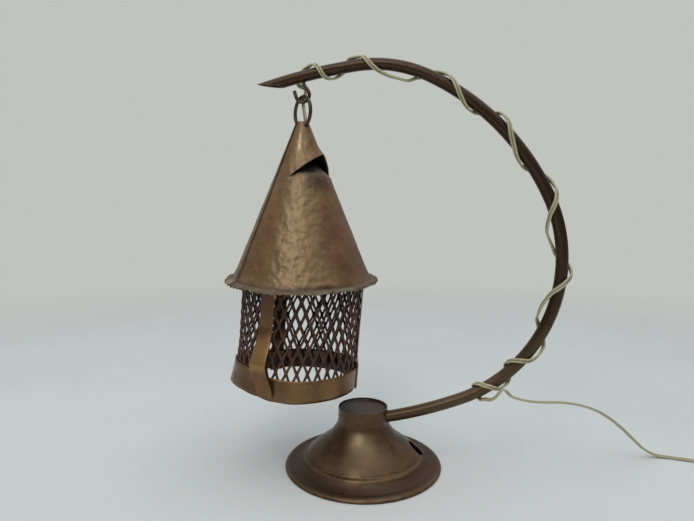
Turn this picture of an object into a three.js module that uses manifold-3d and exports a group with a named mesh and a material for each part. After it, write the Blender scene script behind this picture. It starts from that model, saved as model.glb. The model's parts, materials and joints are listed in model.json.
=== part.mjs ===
// Copper lantern lamp: a spun base, a bent tube arm and a hammered lantern hanging from a hook.
// Millimetres, +Z up. The arm lies in the XZ plane and bulges towards +X, the front is -Y.
// The origin is the centre of the base's underside.

import * as THREE from 'three';
import { mergeVertices } from 'three/addons/utils/BufferGeometryUtils.js';
import Module from 'manifold-3d';

const wasm = await Module();
wasm.setup();

// Shared sizes
const gap = 0.3; // between pieces that touch
const deg = Math.PI / 180;

// Base
const sheet = 1.2; // spun copper
const neckRadius = 28;
const neckTop = 67;
const footRadius = 89;
const rollRadius = 80.5; // inner edge of the rolled foot
const capDepth = 2.8; // how far the neck's disc lies below its rim
const switchHoleRadius = 10.8;
const switchHoleTurn = 13; // degrees from the arm towards the back
const switchHoleAt = { r: 60.5, z: 17.3 };
const switchHoleSlope = { r: 0.645, z: 0.764 }; // the way that the hole looks
const feltThickness = 1.2;
const plateThickness = 1;
const plateRadius = 76;
const weightRadius = 56;
const weightHeight = 9;
const bossRadius = 13;
const blockHeight = 19;
const rodRadius = 4;
const nutRadius = 7.5;
const nutHeight = 6;
const grubRadius = 2.5;
const grubX = 18.5;

// Arm: a half-inch tube, bent as a chain of arcs, each a length and a turn in degrees
const armRadius = 6.35;
const armWall = 1.1;
const armStart = { x: 10.5, z: 53.2, slope: 10.5 };
const armBends = [
  { length: 104, turn: 12.8 },
  { length: 266, turn: 92.2 },
  { length: 179, turn: 37.5 },
  { length: 82, turn: 32.4 },
  { length: 114.5, turn: 10.3 },
];
const tipCutLength = 30; // of the long oblique cut, along the arm

// Hook and ring
const wireRadius = 2;
const hookSeat = { x: -69.3, z: 410.7 }; // the hook's lowest point, on the wire's centreline
const hookBend = wireRadius * 3.9;
const ringRadius = 17; // to the wire's centre
const ringTurn = -44; // degrees, the ring's plane seen from above
const ringClear = wireRadius; // above the hook's wire, because the wires cross at a slant

// Lantern: heights are measured down from the two holes that the ring passes through
const roofTop = -4.1;
const roofTopRadius = 6.6;
const roofFoot = 169.9;
const roofFootRadius = 77.4;
const roofFlare = 1.6; // at the foot, beyond the straight cone
const roofFlareHeight = 12;
const roofSkew = 4.2; // how much lower the foot lies at its lowest side
const roofSkewTurn = -79;
const roofSheet = 1;
const rimDrop = 5.8;
const rimWidth = 7.8; // from the flared foot outwards
const rimRadius = roofFootRadius + roofFlare + rimWidth;
const rimCrimp = 1.5;
const roofColumns = 48;
const lanternLean = 0.6; // degrees, towards -X
const sleeveLean = 3.8; // degrees more, below the sleeve's top
const sleeveShift = 2; // of the sleeve's top, towards +X
const ventStart = -103; // degrees round the roof
const ventPeak = 0;
const ventEnd = 38;
const ventLow = 59.2;
const ventSlant = { middle: 48.8, swing: 7.7, widen: 0.302, turn: 11 }; // of the cut's plane
const ventLip = 4; // how far the upper lip is pushed out
const ventDent = 6.5; // how far the lower lip is pushed in
const sleeveRadius = 68.3;
const sleeveSheet = 0.9;
const sleeveTop = 160.3;
const meshTop = 171;
const meshBottom = 274.5;
const meshColumns = 22;
const meshTiers = 6;
const meshStrand = 2;
const bandTop = 272.3;
const bandHeight = 24;
const bandSheet = 1;
const bandLift = 11; // the bent part of the band, at its middle
const bandOut = 1.5;
const bandFlare = 4.5;
const bandBentAt = 212;
const bandBentHalf = 80;
const strapWidth = 16;
const strapSheet = 1.2;
const strapTab = 7; // the straps' run from the roof in to the sleeve
const strapTurns = { front: 255, right: 8, back: 128 };
const strapTwist = 5; // degrees that the bent strap's foot lies further round

// Lampholder, hung from a bridge inside the roof
const bridgeDown = 87.4;
const bridgeSheet = 1.5;
const nippleRadius = 4.9;
const nippleBore = 3.5;
const bridgeWidth = 2 * (nippleRadius + 1.1);
const holderRadius = 16.5;
const holderLength = 38;
const holderWall = 0.8;
const coreLength = 9;
const threadRadius = 13.4;

// Flat twin flex
const cordWidth = 5;
const cordThickness = 2.5;
// The cord's way round the arm: degrees round it from its outer side, distance along it, and how far
// its centre lies outside the tube
const wrapKeys = [
  [-112.5, 714, 2.25], [-60, 709, 2.25], [-25, 701, 2.85], [0, 691.5, 3.65], [60, 683, 2.35],
  [102, 680, 2.25], [135, 678, 2.25], [180, 673.5, 2.55], [205, 668.5, 3.25], [240, 660, 2.35],
  [335, 648.5, 3.65], [364, 637, 2.45], [440, 628, 2.25], [482, 621.5, 2.85], [515, 613, 4.05],
  [538, 599, 6.25], [556, 583, 6.45], [592, 572.5, 2.45], [675, 559, 2.25], [720, 544.5, 2.85],
  [770, 534, 2.25], [815, 524, 2.25], [855, 514.5, 2.25], [900, 503.5, 2.25], [945, 497, 2.25],
  [1031, 481.5, 2.35], [1080, 475.5, 3.05], [1120, 465, 3.65], [1172, 451.5, 2.45], [1220, 435, 2.85],
  [1255, 424, 2.45], [1321, 413, 2.25], [1415, 394, 2.85], [1440, 384, 3.05], [1483, 376, 2.25],
  [1532, 367, 2.25], [1575, 359.5, 2.65], [1618, 342.5, 6.25], [1661, 319, 2.45], [1767, 303, 2.85],
  [1800, 296.5, 3.65], [1855, 288.5, 2.35], [1902, 280.5, 2.35], [1948, 271.5, 3.25], [1970, 256, 6.25],
  [1988, 243, 5.25], [2041, 233.5, 2.45], [2131, 220, 3.45], [2156, 215, 3.85], [2180, 207, 3.65],
  [2206, 199.5, 2.45], [2254, 193.5, 2.25], [2295, 188, 2.25], [2336, 182, 2.25], [2405, 174.5, 2.25],
  [2491, 168, 2.85], [2516, 163.5, 2.85], [2540, 158.5, 2.45], [2560, 155, 2.25], [2606, 150, 2.25],
  [2650, 143.5, 2.25], [2692, 138, 2.25], [2753, 132.5, 2.25], [2880, 131, 2.65],
];
const wrapSteps = 16;
const besideRing = 3.9; // from the ring's plane to the cord that hangs through it
const coilCentre = { x: 414, y: 36 };
const coilRadius = 33;
const coilTurns = 3.25;
const coilSteps = 20;
const coilStart = 84; // degrees
const coilPitch = cordWidth + 0.6;
const coilRise = cordThickness + 0.6;
// The cord's loose run from the last turn to the table
const tailRun = [
  [132.4, -5, 85], [138.9, -10.5, 85.8], [144.6, -12.6, 90.2], [148.6, -13.2, 96.6], [151.8, -12.8, 100.4],
  [155.4, -11.8, 98.6], [161, -10.6, 92.6], [168.9, -8.6, 89.4], [183, -3, 85.6], [200, 5.5, 82.9],
  [216, 14, 80.8], [232, 23, 76.9], [248, 32.5, 71], [264, 42.5, 62.6], [280, 52.5, 51],
  [296, 62.5, 36.6], [311, 71, 21.4], [324, 76, 9.3], [337, 78, 2.8], [350, 78, 1.5],
  [364, 76, 1.5], [378, 73.5, 1.5], [394, 71, 1.5],
];
const plugLength = 30;
const plugWidth = 22;
const plugThickness = 11;
const bladeLength = 17;
const bladeWidth = 6.3;
const bladeThickness = 1.5;
const bladeSpacing = 12.7;

const roundSteps = 26;

// Materials
const copper = new THREE.MeshStandardMaterial({ color: 0x6b4429, roughness: 0.5, metalness: 0.9 });
const darkCopper = new THREE.MeshStandardMaterial({ color: 0x4a3026, roughness: 0.55, metalness: 0.85 });
const wire = new THREE.MeshStandardMaterial({ color: 0x3b2a22, roughness: 0.5, metalness: 0.85 });
const brass = new THREE.MeshStandardMaterial({ color: 0xb08d4a, roughness: 0.35, metalness: 0.95 });
const steel = new THREE.MeshStandardMaterial({ color: 0x8c8c8c, roughness: 0.4, metalness: 0.95 });
const iron = new THREE.MeshStandardMaterial({ color: 0x39383a, roughness: 0.8, metalness: 0.6 });
const felt = new THREE.MeshStandardMaterial({ color: 0x2e4033, roughness: 1, metalness: 0 });
const porcelain = new THREE.MeshStandardMaterial({ color: 0xe8e4da, roughness: 0.25, metalness: 0 });
const fibre = new THREE.MeshStandardMaterial({ color: 0x5a4a3c, roughness: 0.9, metalness: 0 });
const flex = new THREE.MeshStandardMaterial({ color: 0xc9bb8a, roughness: 0.35, metalness: 0 });
const plastic = new THREE.MeshStandardMaterial({ color: 0xd8cfae, roughness: 0.45, metalness: 0 });

const lamp = new THREE.Group();
const lantern = new THREE.Group();

function add(name, geometry, material, parent = lamp) {
  const mesh = new THREE.Mesh(geometry, material.clone());
  mesh.name = name;
  parent.add(mesh);
  return mesh;
}

// Solids for cutting and joining
function toSolid(geometry) {
  const bare = geometry.clone();
  for (const key of Object.keys(bare.attributes)) {
    if (key !== 'position') bare.deleteAttribute(key);
  }
  const merged = mergeVertices(bare, 1e-4);
  const vertProperties = new Float32Array(merged.attributes.position.array);
  const triVerts = new Uint32Array(merged.index.array);
  return new wasm.Manifold(new wasm.Mesh({ numProp: 3, vertProperties, triVerts }));
}

function fromSolid(solid) {
  const mesh = solid.getMesh();
  const geometry = new THREE.BufferGeometry();
  geometry.setAttribute('position', new THREE.BufferAttribute(new Float32Array(mesh.vertProperties), 3));
  geometry.setIndex(new THREE.BufferAttribute(new Uint32Array(mesh.triVerts), 1));
  return geometry;
}

function cut(geometry, ...tools) {
  let solid = toSolid(geometry);
  for (const tool of tools) solid = solid.subtract(toSolid(tool));
  return fromSolid(solid);
}

// A turned piece about Z from [radius, height] pairs that go round the section
function turned(profile, steps = roundSteps) {
  let area = 0;
  profile.forEach(([r, z], i) => {
    const [nextR, nextZ] = profile[(i + 1) % profile.length];
    area += r * nextZ - nextR * z;
  });
  const around = area > 0 ? [...profile] : [...profile].reverse();
  const start = around.findIndex(([r], i) => r === 0 && around.at(i - 1)[0] === 0);
  const open = start < 0 ? [...around, around[0]] : [...around.slice(start), ...around.slice(0, start)];
  const geometry = new THREE.LatheGeometry(open.map(([r, z]) => new THREE.Vector2(r, z)), steps);
  return geometry.rotateX(Math.PI / 2);
}

// A round bar between two points
function bar(from, to, radius, steps = 24) {
  const along = new THREE.Vector3().subVectors(to, from);
  const geometry = new THREE.CylinderGeometry(radius, radius, along.length(), steps);
  const up = new THREE.Vector3(0, 1, 0);
  const turn = new THREE.Quaternion().setFromUnitVectors(up, along.clone().normalize());
  const middle = new THREE.Vector3().addVectors(from, to).multiplyScalar(0.5);
  return geometry.applyQuaternion(turn).translate(middle.x, middle.y, middle.z);
}

// A tube or bar along a curve
function swept(curve, outline, steps) {
  return new THREE.ExtrudeGeometry(outline, { steps, bevelEnabled: false, extrudePath: curve });
}

function disc(radius, sides, bore = 0) {
  const shape = new THREE.Shape();
  for (let i = 0; i < sides; i++) {
    const a = (2 * Math.PI * i) / sides;
    const point = [radius * Math.cos(a), radius * Math.sin(a)];
    if (i === 0) shape.moveTo(...point);
    else shape.lineTo(...point);
  }
  if (bore > 0) shape.holes.push(new THREE.Path().setFromPoints(disc(bore, sides).getPoints()));
  return shape;
}

// Sheet metal: outer and inner points with the same faces, walled along every free edge
function sheetMetal(outer, inner, faces) {
  const count = outer.length;
  const index = [];
  const edges = new Set();
  for (const [a, b, c] of faces) {
    index.push(a, b, c, count + a, count + c, count + b);
    for (const [p, q] of [[a, b], [b, c], [c, a]]) edges.add(`${p},${q}`);
  }
  for (const edge of edges) {
    const [p, q] = edge.split(',').map(Number);
    if (!edges.has(`${q},${p}`)) index.push(q, p, count + p, q, count + p, count + q);
  }
  const geometry = new THREE.BufferGeometry();
  const positions = [...outer, ...inner].flatMap((v) => [v.x, v.y, v.z]);
  geometry.setAttribute('position', new THREE.Float32BufferAttribute(positions, 3));
  geometry.setIndex(index);
  return geometry;
}

// The base, from the foot up the outside
const shellOuter = [
  [88.6, 0], [footRadius, 0.8], [87.6, 2.8], [84.4, 4.3], [rollRadius, 4.5], [79, 3.9], [74, 5.8],
  [69.5, 9], [66.5, 12.6], [64.2, 13.2], [62.5, 15.4], [58, 19.8], [40, 33.5], [34, 40.5], [29.3, 48],
  [neckRadius, neckTop],
];

function offsetInward(profile, distance) {
  return profile.map(([r, z], i) => {
    const [r0, z0] = profile[Math.max(i - 1, 0)];
    const [r1, z1] = profile[Math.min(i + 1, profile.length - 1)];
    const length = Math.hypot(r1 - r0, z1 - z0);
    return [r - (distance * (z1 - z0)) / length, z + (distance * (r1 - r0)) / length];
  });
}

// The arm's centreline, measured from its inner end
class ArmCurve extends THREE.Curve {
  constructor() {
    super();
    this.total = armBends.reduce((sum, bend) => sum + bend.length, 0);
  }

  at(distance) {
    let { x, z } = armStart;
    let heading = armStart.slope * deg;
    let left = distance;
    for (const bend of armBends) {
      const last = bend === armBends.at(-1);
      const run = last ? left : Math.min(left, bend.length);
      const curl = (bend.turn * deg) / bend.length;
      x += (Math.sin(heading + curl * run) - Math.sin(heading)) / curl;
      z += (Math.cos(heading) - Math.cos(heading + curl * run)) / curl;
      heading += curl * run;
      left -= run;
      if (left <= 0 && !last) break;
    }
    return { x, z, heading };
  }

  getPoint(t, target = new THREE.Vector3()) {
    const { x, z } = this.at(t * this.total);
    return target.set(x, 0, z);
  }
}

const armCurve = new ArmCurve();
// Wrap positions are measured from the base's axis, the curve from the arm's inner end
const armFromAxis = armStart.x / Math.cos(armStart.slope * deg);

function armSide(distance, out, side) {
  const { x, z, heading } = armCurve.at(distance - armFromAxis);
  const reach = out * Math.cos(side * deg);
  const [across, up] = [reach * Math.sin(heading), reach * Math.cos(heading)];
  return new THREE.Vector3(x + across, -out * Math.sin(side * deg), z - up);
}

function makeBase() {
  const lip = [[rollRadius, 0], [rollRadius, sheet * 0.6]];
  const inner = offsetInward(shellOuter, sheet).slice(5, -1);
  const rollInner = [[87, sheet], [84.2, 3], [rollRadius + 0.8, 3.1]];
  const topInner = [neckRadius - sheet, neckTop];
  const hollow = [topInner, ...inner.reverse(), ...rollInner.reverse(), [87, sheet * 0.6], ...lip.reverse()];
  const shell = turned([...shellOuter, ...hollow], 36);
  const armHole = bar(armSide(armFromAxis - 2, 0, 0), armSide(48, 0, 0), armRadius + 1.1);
  const upright = new THREE.Vector3(0, 0, 1);
  const round = ({ r, z }) => new THREE.Vector3(r, 0, z).applyAxisAngle(upright, switchHoleTurn * deg);
  const slope = round(switchHoleSlope);
  const seat = round(switchHoleAt);
  const reach = switchHoleRadius;
  const ends = [seat.clone().addScaledVector(slope, -reach), seat.clone().addScaledVector(slope, reach)];
  const switchHole = bar(...ends, switchHoleRadius);
  add('base_shell', cut(shell, armHole, switchHole), copper);

  const feltRadius = rollRadius - 2 * gap;
  const slab = (radius, low, high, steps) => (
    turned([[0, low], [radius, low], [radius, high], [0, high]], steps)
  );
  add('base_felt', slab(feltRadius, 0, feltThickness, 32), felt);
  const plateAt = feltThickness + gap;
  const plateTop = plateAt + plateThickness;
  add('base_plate', slab(plateRadius, plateAt, plateTop), steel);

  const weightAt = plateTop + gap;
  const weightTop = weightAt + weightHeight;
  const blockAt = neckTop - capDepth - sheet - gap - blockHeight;
  const bossTop = blockAt - gap;
  const boreRadius = rodRadius + gap;
  const nutPocket = nutRadius + 1;
  const pocketTop = weightAt + nutHeight + 1;
  add('base_weight', turned([
    [nutPocket, weightAt], [weightRadius, weightAt], [weightRadius, weightTop - 2],
    [weightRadius - 3, weightTop], [bossRadius + 10, weightTop + 2], [bossRadius, weightTop + 12],
    [bossRadius, bossTop],
    [boreRadius, bossTop], [boreRadius, pocketTop], [nutPocket, pocketTop],
  ]), iron);

  const blockTop = blockAt + blockHeight;
  const blockRadius = neckRadius - sheet - gap;
  const topPocket = nutHeight + 2;
  const block = turned([
    [boreRadius, blockAt], [blockRadius - 2, blockAt], [blockRadius, blockAt + 2], [blockRadius, blockTop],
    [nutPocket, blockTop], [nutPocket, blockTop - topPocket], [boreRadius, blockTop - topPocket],
  ]);
  const armBore = bar(armSide(armFromAxis - 0.8, 0, 0), armSide(44, 0, 0), armRadius + gap);
  const grubTop = armSide(grubX + 0.4, armRadius + gap, 0).z;
  const onGrub = (z) => new THREE.Vector3(grubX, 0, z);
  const grubBore = bar(onGrub(blockAt - 1), onGrub(grubTop + 1), grubRadius + gap);
  add('arm_block', cut(block, armBore, grubBore), iron);
  const grub = bar(onGrub(blockAt - 2), onGrub(grubTop - 0.6), grubRadius, 12);
  const slot = new THREE.BoxGeometry(grubRadius * 3, 0.8, 1.6).translate(grubX, 0, blockAt - 2);
  add('arm_grub_screw', cut(grub, slot), steel);

  const rodAt = weightAt + 0.5;
  const rodTop = blockTop - 0.6;
  add('tie_rod', slab(rodRadius, rodAt, rodTop, 18), steel);
  const onAxis = (z) => new THREE.Vector3(0, 0, z);
  const nut = (z) => {
    const hex = bar(onAxis(z), onAxis(z + nutHeight), nutRadius, 6);
    return cut(hex, bar(onAxis(z - 1), onAxis(z + nutHeight + 1), rodRadius + gap, 18));
  };
  add('tie_rod_lower_nut', nut(pocketTop - gap - nutHeight), steel);
  add('tie_rod_upper_nut', nut(blockTop - topPocket + gap), steel);

  const capRadius = neckRadius - sheet - gap;
  const capTop = neckTop - capDepth;
  const cap = turned([
    [0, capTop - sheet], [capRadius - 1.6, capTop - sheet], [capRadius, capTop + 0.4],
    [capRadius, capTop + 1.9], [capRadius - 0.9, capTop + 1.9], [capRadius - 0.9, capTop + 0.9],
    [capRadius - 2, capTop], [0, capTop],
  ]);
  const armRoom = bar(armSide(armFromAxis - 0.8, 0, 0), armSide(44, 0, 0), armRadius + gap / 2);
  add('neck_cap', cut(cap, armRoom), copper);
}

function makeArm() {
  const steps = 28;
  const tube = swept(armCurve, disc(armRadius, 12, armRadius - armWall), steps);
  // The cut runs from the pointed tip on the upper side back to the underside
  const end = armCurve.total + armFromAxis;
  const tip = armSide(end, armRadius, 0);
  const heel = armSide(end - tipCutLength, -armRadius, 0);
  const block = new THREE.BoxGeometry(90, 40, 40).translate(0, 0, -20);
  block.rotateY(Math.atan2(tip.z - heel.z, heel.x - tip.x));
  block.translate((tip.x + heel.x) / 2, 0, (tip.z + heel.z) / 2);
  // The hook's shank goes in through a drilled hole
  const [shankTop, , shankFoot] = hookPoints();
  const drill = bar(shankTop, shankFoot, wireRadius + gap + 0.2, 16);
  add('arm_tube', cut(tube, block, drill), darkCopper);
}

function hookPoints() {
  const { x, z } = hookSeat;
  const centre = z + hookBend;
  const points = [[x + 1, centre + 22], [x + 1.1, centre + 17.6], [x + 1.5, centre + 12]];
  points.push([x + 4.8, centre + 6.8]);
  for (const a of [15, -15, -45, -90, -135, -175]) {
    points.push([x + hookBend * Math.cos(a * deg), centre + hookBend * Math.sin(a * deg)]);
  }
  points.push([x - hookBend - 1.8, centre + 5]);
  return points.map(([px, pz]) => new THREE.Vector3(px, 0, pz));
}

function makeHookAndRing() {
  add('hook', swept(new THREE.CatmullRomCurve3(hookPoints()), disc(wireRadius, 8), 26), wire);
  const ring = new THREE.TorusGeometry(ringRadius, wireRadius, 8, 26);
  ring.rotateX(Math.PI / 2).rotateZ(ringTurn * deg);
  add('ring', ring, wire).position.set(hookSeat.x, 0, ringCentre());
}

function ringCentre() {
  return hookSeat.z + 2 * wireRadius + ringClear - ringRadius;
}

function roofRadiusAt(down) {
  return roofTopRadius + ((roofFootRadius - roofTopRadius) * (down - roofTop)) / (roofFoot - roofTop);
}

function roofFootAt(turn) {
  return roofFoot + roofSkew * Math.cos((turn - roofSkewTurn) * deg);
}

function ringHoles() {
  // Where the ring's wire crosses the roof: half the chord, and its height below the ring's centre
  const half = roofRadiusAt(0) - roofSheet / 2;
  return { half, below: Math.sqrt(ringRadius ** 2 - half ** 2) };
}

// Lantern points from radius, degrees round and distance down; the sleeve is shifted and leans more
function lanternPoint(radius, turn, down) {
  return new THREE.Vector3(radius * Math.cos(turn * deg), radius * Math.sin(turn * deg), -down);
}

function sleevePoint(radius, turn, down) {
  const point = lanternPoint(radius, turn, down);
  const onSleeve = THREE.MathUtils.clamp((down - sleeveTop + strapTab) / strapTab, 0, 1);
  point.x += sleeveShift * onSleeve - Math.max(0, down - sleeveTop) * Math.tan(sleeveLean * deg);
  return point;
}

function bump(turn, middle, half) {
  const away = Math.abs(((turn - middle + 540) % 360) - 180);
  return away < half ? Math.cos((Math.PI * away) / (2 * half)) ** 2 : 0;
}

// The vent's edge round the roof: a slanted cut that climbs to a peak and drops behind it
function ventHeight(turn) {
  const a = ((turn + 540) % 360) - 180;
  if (a <= ventStart || a >= ventEnd) return ventLow;
  const slant = (b) => {
    const { middle, swing, widen, turn: at } = ventSlant;
    const side = Math.cos((b - at) * deg);
    return (middle - swing * side) / (1 + widen * side);
  };
  if (a <= ventPeak) return slant(a);
  return slant(ventPeak) + ((ventLow - slant(ventPeak)) * (a - ventPeak)) / (ventEnd - ventPeak);
}

function ventOpening(turn) {
  const a = ((turn + 540) % 360) - 180;
  if (a <= ventStart || a >= ventEnd) return 0;
  const rise = (a - ventStart) / (ventPeak - 12 - ventStart);
  const fall = (ventEnd - a) / (ventEnd - ventPeak - 4);
  return Math.sin((Math.PI / 2) * Math.min(1, rise, fall));
}

function makeRoof() {
  const upper = [0, 0.5, 0.8, 1];
  const lower = [0, 0.08, 0.2];
  const rows = [];
  for (const share of upper) rows.push((turn) => [roofTop + (ventHeight(turn) - roofTop) * share, 1]);
  for (const share of lower) {
    rows.push((turn) => [ventHeight(turn) + (roofFootAt(turn) - ventHeight(turn)) * share, -1]);
  }
  rows.push((turn) => [roofFootAt(turn) - roofFlareHeight, -1], (turn) => [roofFootAt(turn), -1]);
  const outer = [];
  const inner = [];
  const slope = Math.atan2(roofFootRadius - roofTopRadius, roofFoot - roofTop);
  const place = (radius, turn, down, tilt) => {
    outer.push(lanternPoint(radius, turn, down));
    inner.push(lanternPoint(radius - roofSheet * Math.cos(tilt), turn, down + roofSheet * Math.sin(tilt)));
  };
  const table = [];
  for (let i = 0; i < roofColumns; i++) {
    const turn = (360 * i) / roofColumns + ventEnd;
    const column = [];
    const open = ventOpening(turn);
    rows.forEach((row, k) => {
      const [down, side] = row(turn);
      const away = Math.abs(down - ventHeight(turn));
      const reach = side > 0 ? 15 : 26;
      const push = open * Math.max(0, 1 - away / reach) ** 2 * (side > 0 ? ventLip : -ventDent);
      if (k === upper.length && open < 1e-6) {
        column.push(column.at(-1));
      } else {
        column.push(outer.length);
        const flare = k === rows.length - 1 ? roofFlare : 0;
        place(roofRadiusAt(down) + push + flare, turn, down, slope);
      }
    });
    const crimp = rimCrimp * (i % 2 ? 1 : -1);
    const foot = roofFootAt(turn);
    for (const [radius, down, tilt] of [
      [(roofFootRadius + roofFlare + rimRadius) / 2 - 0.6, foot + rimDrop * 0.3, 52 * deg],
      [rimRadius, foot + rimDrop - 1.5 + crimp, 58 * deg],
    ]) {
      column.push(outer.length);
      place(radius, turn, down, tilt);
    }
    table.push(column);
  }
  const faces = [];
  for (let i = 0; i < roofColumns; i++) {
    const here = table[i];
    const next = table[(i + 1) % roofColumns];
    for (let k = 0; k + 1 < here.length; k++) {
      if (k === upper.length - 1) continue; // the vent's own edge
      faces.push([here[k], here[k + 1], next[k + 1]], [here[k], next[k + 1], next[k]]);
    }
  }
  const roof = sheetMetal(outer, inner, faces);
  const reach = ringHoles().half + 6;
  const upright = new THREE.Vector3(0, 0, 1);
  const end = (length) => new THREE.Vector3(length, 0, 0).applyAxisAngle(upright, ringTurn * deg);
  const drill = bar(end(-reach), end(reach), wireRadius + 0.8, 16);
  add('roof_cone', cut(roof, drill), copper, lantern);
}

// Expanded metal: staggered lozenges between two plain edges
function makeSleeve() {
  const step = 360 / meshColumns;
  const tier = (meshBottom - meshTop) / (meshTiers + 1);
  const strandTurn = meshStrand / sleeveRadius / deg;
  const halfWide = step / 2 - strandTurn * 0.9;
  const halfTall = tier - meshStrand * 1.5;
  const outer = [];
  const inner = [];
  const faces = [];
  const point = (turn, down) => {
    outer.push(sleevePoint(sleeveRadius, turn, down));
    inner.push(sleevePoint(sleeveRadius - sleeveSheet, turn, down));
    return outer.length - 1;
  };
  const wrapped = (list, i) => list[(i + meshColumns) % meshColumns];
  const holes = [];
  for (let k = 0; k < meshTiers; k++) {
    const down = meshTop + tier * (k + 1);
    holes.push(Array.from({ length: meshColumns }, (_, i) => {
      const turn = (i + (k % 2) / 2) * step;
      return {
        top: point(turn, down - halfTall), bottom: point(turn, down + halfTall),
        left: point(turn - halfWide, down), right: point(turn + halfWide, down),
      };
    }));
  }
  const quad = (a, b, c, d) => faces.push([a, b, c], [a, c, d]);
  for (let k = 0; k + 1 < meshTiers; k++) {
    for (let i = 0; i < meshColumns; i++) {
      const hole = holes[k][i];
      const lowerRight = wrapped(holes[k + 1], k % 2 ? i + 1 : i);
      const lowerLeft = wrapped(holes[k + 1], k % 2 ? i : i - 1);
      quad(hole.right, hole.bottom, lowerRight.left, lowerRight.top);
      quad(hole.bottom, hole.left, lowerLeft.top, lowerLeft.right);
      if (k + 2 < meshTiers) quad(hole.bottom, lowerLeft.right, holes[k + 2][i].top, lowerRight.left);
    }
  }
  // Plain edges: a ring beside the last holes and a ring at the sheet's end
  const edge = (k, beside, end, up) => {
    const near = [];
    const far = [];
    for (let i = 0; i < meshColumns * 2; i++) {
      const turn = (i + (k % 2)) * (step / 2);
      near.push(point(turn, beside));
      far.push(point(turn, end));
    }
    const face = (a, b, c) => faces.push(up ? [a, b, c] : [a, c, b]);
    for (let i = 0; i < meshColumns; i++) {
      const hole = holes[k][i];
      const next = wrapped(holes[k], i + 1);
      const tip = up ? hole.top : hole.bottom;
      const nextTip = up ? next.top : next.bottom;
      const a = near[2 * i];
      const b = near[2 * i + 1];
      const c = near[(2 * i + 2) % near.length];
      face(a, tip, b);
      face(tip, hole.right, b);
      face(hole.right, next.left, b);
      face(next.left, nextTip, b);
      face(nextTip, c, b);
      const inward = wrapped(holes[up ? k + 1 : k - 1], k % 2 ? i + 1 : i);
      face(hole.right, up ? inward.top : inward.bottom, next.left);
      face(far[2 * i], a, far[2 * i + 1]);
      face(a, b, far[2 * i + 1]);
      face(far[2 * i + 1], b, far[(2 * i + 2) % far.length]);
      face(b, c, far[(2 * i + 2) % far.length]);
    }
  };
  edge(0, meshTop, sleeveTop, true);
  edge(meshTiers - 1, meshBottom, bandTop + bandHeight - 0.5, false);
  add('mesh_sleeve', sheetMetal(outer, inner, faces), darkCopper, lantern);
}

function makeBand() {
  const columns = 36;
  const outer = [];
  const inner = [];
  const faces = [];
  const radius = sleeveRadius + 2 * gap + bandSheet;
  const shares = [0, 0.5, 1];
  for (let i = 0; i < columns; i++) {
    const turn = (360 * i) / columns;
    const bent = bump(turn, bandBentAt, bandBentHalf);
    for (const share of shares) {
      const r = radius + bent * (bandOut + bandFlare * share);
      const down = bandTop + bandHeight * share - bandLift * bent;
      outer.push(sleevePoint(r, turn, down));
      inner.push(sleevePoint(r - bandSheet, turn, down));
    }
  }
  const rows = shares.length;
  for (let i = 0; i < columns; i++) {
    const next = (i + 1) % columns;
    for (let k = 0; k + 1 < rows; k++) {
      const [a, b, c, d] = [i * rows + k, i * rows + k + 1, next * rows + k + 1, next * rows + k];
      faces.push([a, b, c], [a, c, d]);
    }
  }
  add('bottom_band', sheetMetal(outer, inner, faces), copper, lantern);
}

// Straps: soldered up inside the roof, down the sleeve and over the band
function makeStraps() {
  const onSleeve = sleeveRadius + gap;
  const onBand = sleeveRadius + 3 * gap + bandSheet;
  const tab = (down) => [roofRadiusAt(down) - roofSheet / Math.cos(22 * deg) - strapSheet - 0.5, down];
  const top = [tab(sleeveTop - strapTab - 8), tab(sleeveTop - strapTab), [onSleeve, sleeveTop]];
  const foot = [onBand, bandTop + bandHeight + 2];
  const straight = [...top, [onSleeve, bandTop - 6], [onBand, bandTop - 1], foot];
  const bent = [
    ...top, [onSleeve, 220], [onSleeve + 4, 231], [onSleeve + 10.5, 247], [onSleeve + 12.5, 253.5],
    [onSleeve + 11.5, 263.5], [onBand + 3.8, 289],
  ];
  for (const [side, turn] of Object.entries(strapTurns)) {
    const path = side === 'front' ? bent : straight;
    const outer = [];
    const inner = [];
    const faces = [];
    const halfTurn = strapWidth / 2 / sleeveRadius / deg;
    path.forEach(([radius, down]) => {
      const twist = side === 'front' ? strapTwist * THREE.MathUtils.smoothstep(down, 253, 285) : 0;
      for (const across of [twist - halfTurn, twist, twist + halfTurn]) {
        outer.push(sleevePoint(radius + strapSheet, turn + across, down));
        inner.push(sleevePoint(radius, turn + across, down));
      }
    });
    for (let k = 0; k + 1 < path.length; k++) {
      for (const j of [0, 1]) {
        const a = k * 3 + j;
        faces.push([a, a + 3, a + 4], [a, a + 4, a + 1]);
      }
    }
    add(`strap_${side}`, sheetMetal(outer, inner, faces), copper, lantern);
  }
}

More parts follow.
